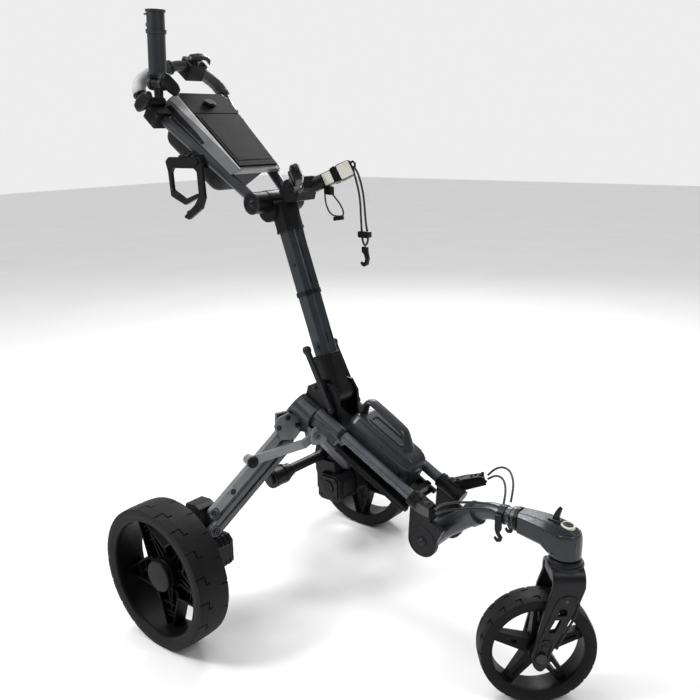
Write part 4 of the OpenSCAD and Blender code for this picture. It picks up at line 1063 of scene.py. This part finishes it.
def facet_piece(name, material, soft_edge, outline, lifts):
    shape = Shape(HANDLE)
    for s in (-1, 1):
        shape.loft([[console_facet(s, u, v, lift) for u, v in outline] for lift in lifts])
    piece(shape, name, "handle", material, soft_edge)


# the console's silver edges, its lower side panels, and the lid's details
facet_piece("console_trim", "trim_silver", 0.35,
            [(0.02, 0.02), (0.30, 0.02), (0.96, 0.02), (0.985, 0.12), (0.985, 0.48), (0.60, 0.30),
             (0.30, 0.16), (0.02, 0.06)], (-0.6, 0.9))
facet_piece("console_trim_edge", "trim_bright", 0.3,
            [(0.02, 0.01), (0.96, 0.01), (0.96, 0.055), (0.02, 0.045)], (0.4, 1.6))
facet_piece("console_side_inlays", "black_plastic", 0.35,
            [(0.42, 0.72), (0.56, 0.62), (0.94, 0.62), (0.96, 0.96), (0.42, 0.96)], (-0.6, 0.7))


def button_oval(half_x, half_y):
    """The outline of the lid's push button, in the lid's frame."""
    turns = [a / 12 * math.pi for a in range(24)]
    return [(172 + half_x * math.cos(t), half_y * math.sin(t)) for t in turns]


lid_band = Shape(LID)
lid_band.plate(rounded([(146, -58.5), (186, -60), (203, -52), (203, 52), (186, 60), (146, 58.5)], 4),
               -2.5, 1.6, holes=[button_oval(11.4, 15.4)])
piece(lid_band, "console_band", "handle", "console_lid_grey", 0.8)
lid_lines = Shape(LID)
lid_lines.plate(rectangle((8, -45), (9.2, 45)), 2.4, 3.2)
for s in (-1, 1):
    lid_lines.plate([(9, s * 45), (30, s * 46.4), (30, s * 45.4), (10, s * 44)], 2.4, 3.2)
piece(lid_lines, "lid_lines", "lid", "black_plastic", 0.15)
lid_panel = Shape(LID)
lid_panel.plate(rounded([(14, -42), (132, -50), (132, 50), (14, 42)], 3), 2.5, 3.5)
piece(lid_panel, "lid_panel", "lid", "console_lid_grey", 0.4)

latch = Shape(LID)
latch.plate(button_oval(9.6, 13.6), -0.6, 6.6)
latch.plate(button_oval(7.0, 10.6), 6.4, 8.0)
piece(latch, "latch_button", "latch", "black_plastic", 1.6, segments=4, stands_for=["lid_latch"])


# ---------- umbrella holder knobs, drink holder ----------


def wing_knob(body, profile, points, high, bow, along, wing_place):
    """A round boss with a wing across it, whose rounded outline swells in the middle."""
    shape = Shape(along).lathe(profile, 40)
    outline = rounded(points, 6, 6)
    low = 28
    shape.loft([[(x * share, y * share, h) for x, y in outline] for h, share in (
        (low, 0.80), (low + 1.2, 0.94), (low + (high - low) * 0.4, 1.0), (low + (high - low) * 0.75, 0.97),
        (high - 0.8, 0.88), (high + bow, 0.60))], place=wing_place)
    piece(shape, body + "_wing", body, "black_plastic", 0.8, angle=50, stands_for=[body], smooth=60)


STEM_KNOB = CART @ move(-173, -97, 968) @ turn(90, "X")
wing_knob("stem_knob", [(10.0, 17.3), (10.6, 18.6), (10.6, 27), (9.6, 29.4)],
          [(-24, -8), (-10, -12), (10, -12), (24, -8), (26, 6), (13, 12), (-13, 12), (-26, 6)],
          40.5, 0.6, STEM_KNOB, STEM_KNOB @ turn(30, "Z"))
bolts = Shape(HANDLE)
for x in (-244, -268):
    bolts.screw((x, -113.6, 10), (0, -1, 0), 7, 3.4)
    bolts.screw((x, -113.6, -10), (0, -1, 0), 7, 3.4)
for x in (-266, -246):
    bolts.screw((x, -100, -16.6), (0, 0, -1), 6, 3)
piece(bolts, "clamp_bolts", "handle", "black_steel", 0.2)
wing_knob("tilt_knob", [(9.4, 20.4), (10.2, 21.6), (10.2, 28), (9.2, 30)],
          [(-24, -9), (-10, -12), (10, -12), (24, -9), (25, 7), (13, 12), (-13, 12), (-25, 7)],
          39.5, 0.8, UMBRELLA @ turn(90, "Y"), UMBRELLA @ turn(50, "X") @ turn(90, "Y"))
umbrella = Shape(UMBRELLA)
umbrella.hoop([(16, 86.4), (18.2, 86.8), (18.8, 90), (18.2, 93.6), (16, 94)], 64)
umbrella.hoop([(13.6, 124.6), (18.2, 124.6), (18.6, 126.5), (17.6, 128), (13.6, 128)], 64)
umbrella.box((-22, -4, 98), (-15, 4, 110))
umbrella.lathe([(4.6, 14), (5.0, 15), (5.0, 22), (4.0, 23.4)], 24,
               place=UMBRELLA @ move(0, 0, 103) @ turn(-90, "Y"))
umbrella.box((-12, -17.4, 118), (-4, -15, 121))
piece(umbrella, "umbrella_detail", "umbrella_tube", "umbrella_grey", 0.5)

holder = Shape(CART)
profile = [(-150, 860), (-140, 868), (-58, 868), (-48, 852), (-44, 796), (-54, 776), (-92, 754),
           (-108, 758), (-74, 782), (-60, 798), (-62, 842), (-70, 848), (-128, 848), (-134, 840),
           (-132, 808), (-98, 792), (-62, 804), (-62, 796), (-100, 781), (-140, 796), (-144, 842)]
holder.plate(rounded(profile, 4), 104.5, 110, place=SIDE_ON)
for a, b in (((-96, 768), (-72, 778)), ((-82, 764), (-66, 772)), ((-139, 812), (-132, 806))):
    holder.tube([(a[0], -110.4, a[1]), (b[0], -110.4, b[1])], 1.2, 8)
holder.plate(rounded([(-146, 862), (-138, 866.4), (-60, 866.4), (-54, 860), (-62, 852), (-138, 852)], 2),
             109.6, 111.6, place=SIDE_ON)
for x in (-107.4, -93):
    holder.lathe([(7.0, 0), (7.6, 0.8), (7.6, 7.4), (7.0, 8.2)], 32,
                 place=CART @ move(x, -100, 868) @ turn(90, "Y"))
holder.lathe([(6.4, 7), (6.4, 16)], 32, place=CART @ move(-107.4, -100, 868) @ turn(90, "Y"))
piece(holder, "drink_holder_arms", "drink_holder", "black_plastic", 1.0, segments=3,
      stands_for=["drink_holder"])


# ---------- drives ----------

for side in SIDES:
    unit = Shape(CART @ FLIP[side])
    place = CART @ FLIP[side] @ move(0, 0, REAR_RADIUS) @ turn(-90, "X")
    flat_place = CART @ FLIP[side] @ turn(90, "X")
    for share, corner, low, high in ((1.05, 5, -169, -166), (1.05, 5, -179, -176), (1.05, 5, -189, -186),
                                     (1.05, 5, -199, -196), (1.08, 5, -209, -204), (0.86, 6, -161, -156.6)):
        # the housing's outline, about its own middle
        outline = [(1 + (x - 1) * share, 133 + (z - 133) * share) for x, z in (
            (-30, 108), (-30, 152), (-20, 164), (22, 164), (32, 154), (32, 110), (24, 102), (-22, 102))]
        unit.plate(rounded(outline, corner), low, high, place=flat_place)
    for x, z in ((-19, 114), (-19, 151), (20, 152), (20, 114)):
        unit.screw((x, 157, z), (0, -1, 0), 5, 2.4, washer=False)
    unit.hoop([(40, 214), (43, 214), (43, 220), (40, 222)], 64, place=place)
    unit.lathe([(15, 153.6), (17, 154.4), (17, 157)], 40, place=place)
    for k in range(6):
        unit.box((-1.5, 4, 153), (1.5, 13, 154.6), place=place @ turn(60 * k, "Z"))
    piece(unit, "drive_ribs_" + side, "drive_" + side, "charcoal_plastic", 0.5)


# ---------- floor and lights ----------

floor = bpy.data.meshes.new("floor")
floor.from_pydata([(-12, -12, 0), (12, -12, 0), (12, 12, 0), (-12, 12, 0)], [], [(0, 1, 2, 3)])
floor_obj = in_scene("floor", floor)
floor_obj.location.z = -0.0004
floor_mat, floor_shader = principled("floor_paper", (0.86, 0.86, 0.86), 0.75, 0.0, 0.2)
paper = noise(floor_mat, coordinates(floor_mat), 3, 3)
paper = blend_colours(floor_mat, remap(floor_mat, paper, 0, 1), (0.85, 0.85, 0.85), (0.88, 0.88, 0.88))
link(floor_mat, paper, floor_shader.inputs["Base Color"])
floor.materials.append(floor_mat)

# a studio with a pale backdrop, a soft ceiling and dim walls behind the camera
world = bpy.data.worlds.new("studio")
world.use_nodes = True
sky = node(world, "ShaderNodeTexCoord")
levels = []
for axis, start, stop, low, high in (((-0.634, 0.773, 0), 0.1, 0.8, 0.16, 0.85),
                                     ((0, 0, 1), 0.4, 1.0, 0.0, 0.55)):
    facing = node(world, "ShaderNodeVectorMath", operation="DOT_PRODUCT")
    link(world, sky.outputs["Generated"], facing.inputs[0])
    facing.inputs[1].default_value = axis
    levels.append(remap(world, facing.outputs["Value"], low, high, start, stop))
background = world.node_tree.nodes["Background"]
background.inputs["Color"].default_value = (1.0, 1.0, 1.0, 1)
link(world, maths(world, "MAXIMUM", *levels), background.inputs["Strength"])
bpy.context.scene.world = world
bpy.context.scene.view_settings.view_transform = "Standard"


def area_light(name, at, target, size, watts):
    light = bpy.data.lights.new(name, "AREA")
    light.shape = "RECTANGLE"
    light.size, light.size_y = size
    light.energy = watts
    obj = in_scene(name, light)
    obj.location = at
    obj.rotation_mode = "QUATERNION"
    obj.rotation_quaternion = (Vector(target) - Vector(at)).to_track_quat("-Z", "Y")


sun = in_scene("ceiling", bpy.data.lights.new("ceiling", "SUN"))
sun.data.energy = 1.0
sun.data.angle = math.radians(40)
sun.rotation_mode = "QUATERNION"
sun.rotation_quaternion = Vector((-0.45, -0.2, 1.0)).to_track_quat("Z", "Y")
area_light("key", (-1.3, -1.7, 2.2), (0, 0, 0.5), (0.6, 0.8), 46)
area_light("fill", (2.2, -0.2, 2.3), (0, 0, 0.4), (0.5, 1.2), 26)
area_light("back", (-1.2, 2.2, 2.2), (0, 0, 0.6), (1.0, 0.8), 44)
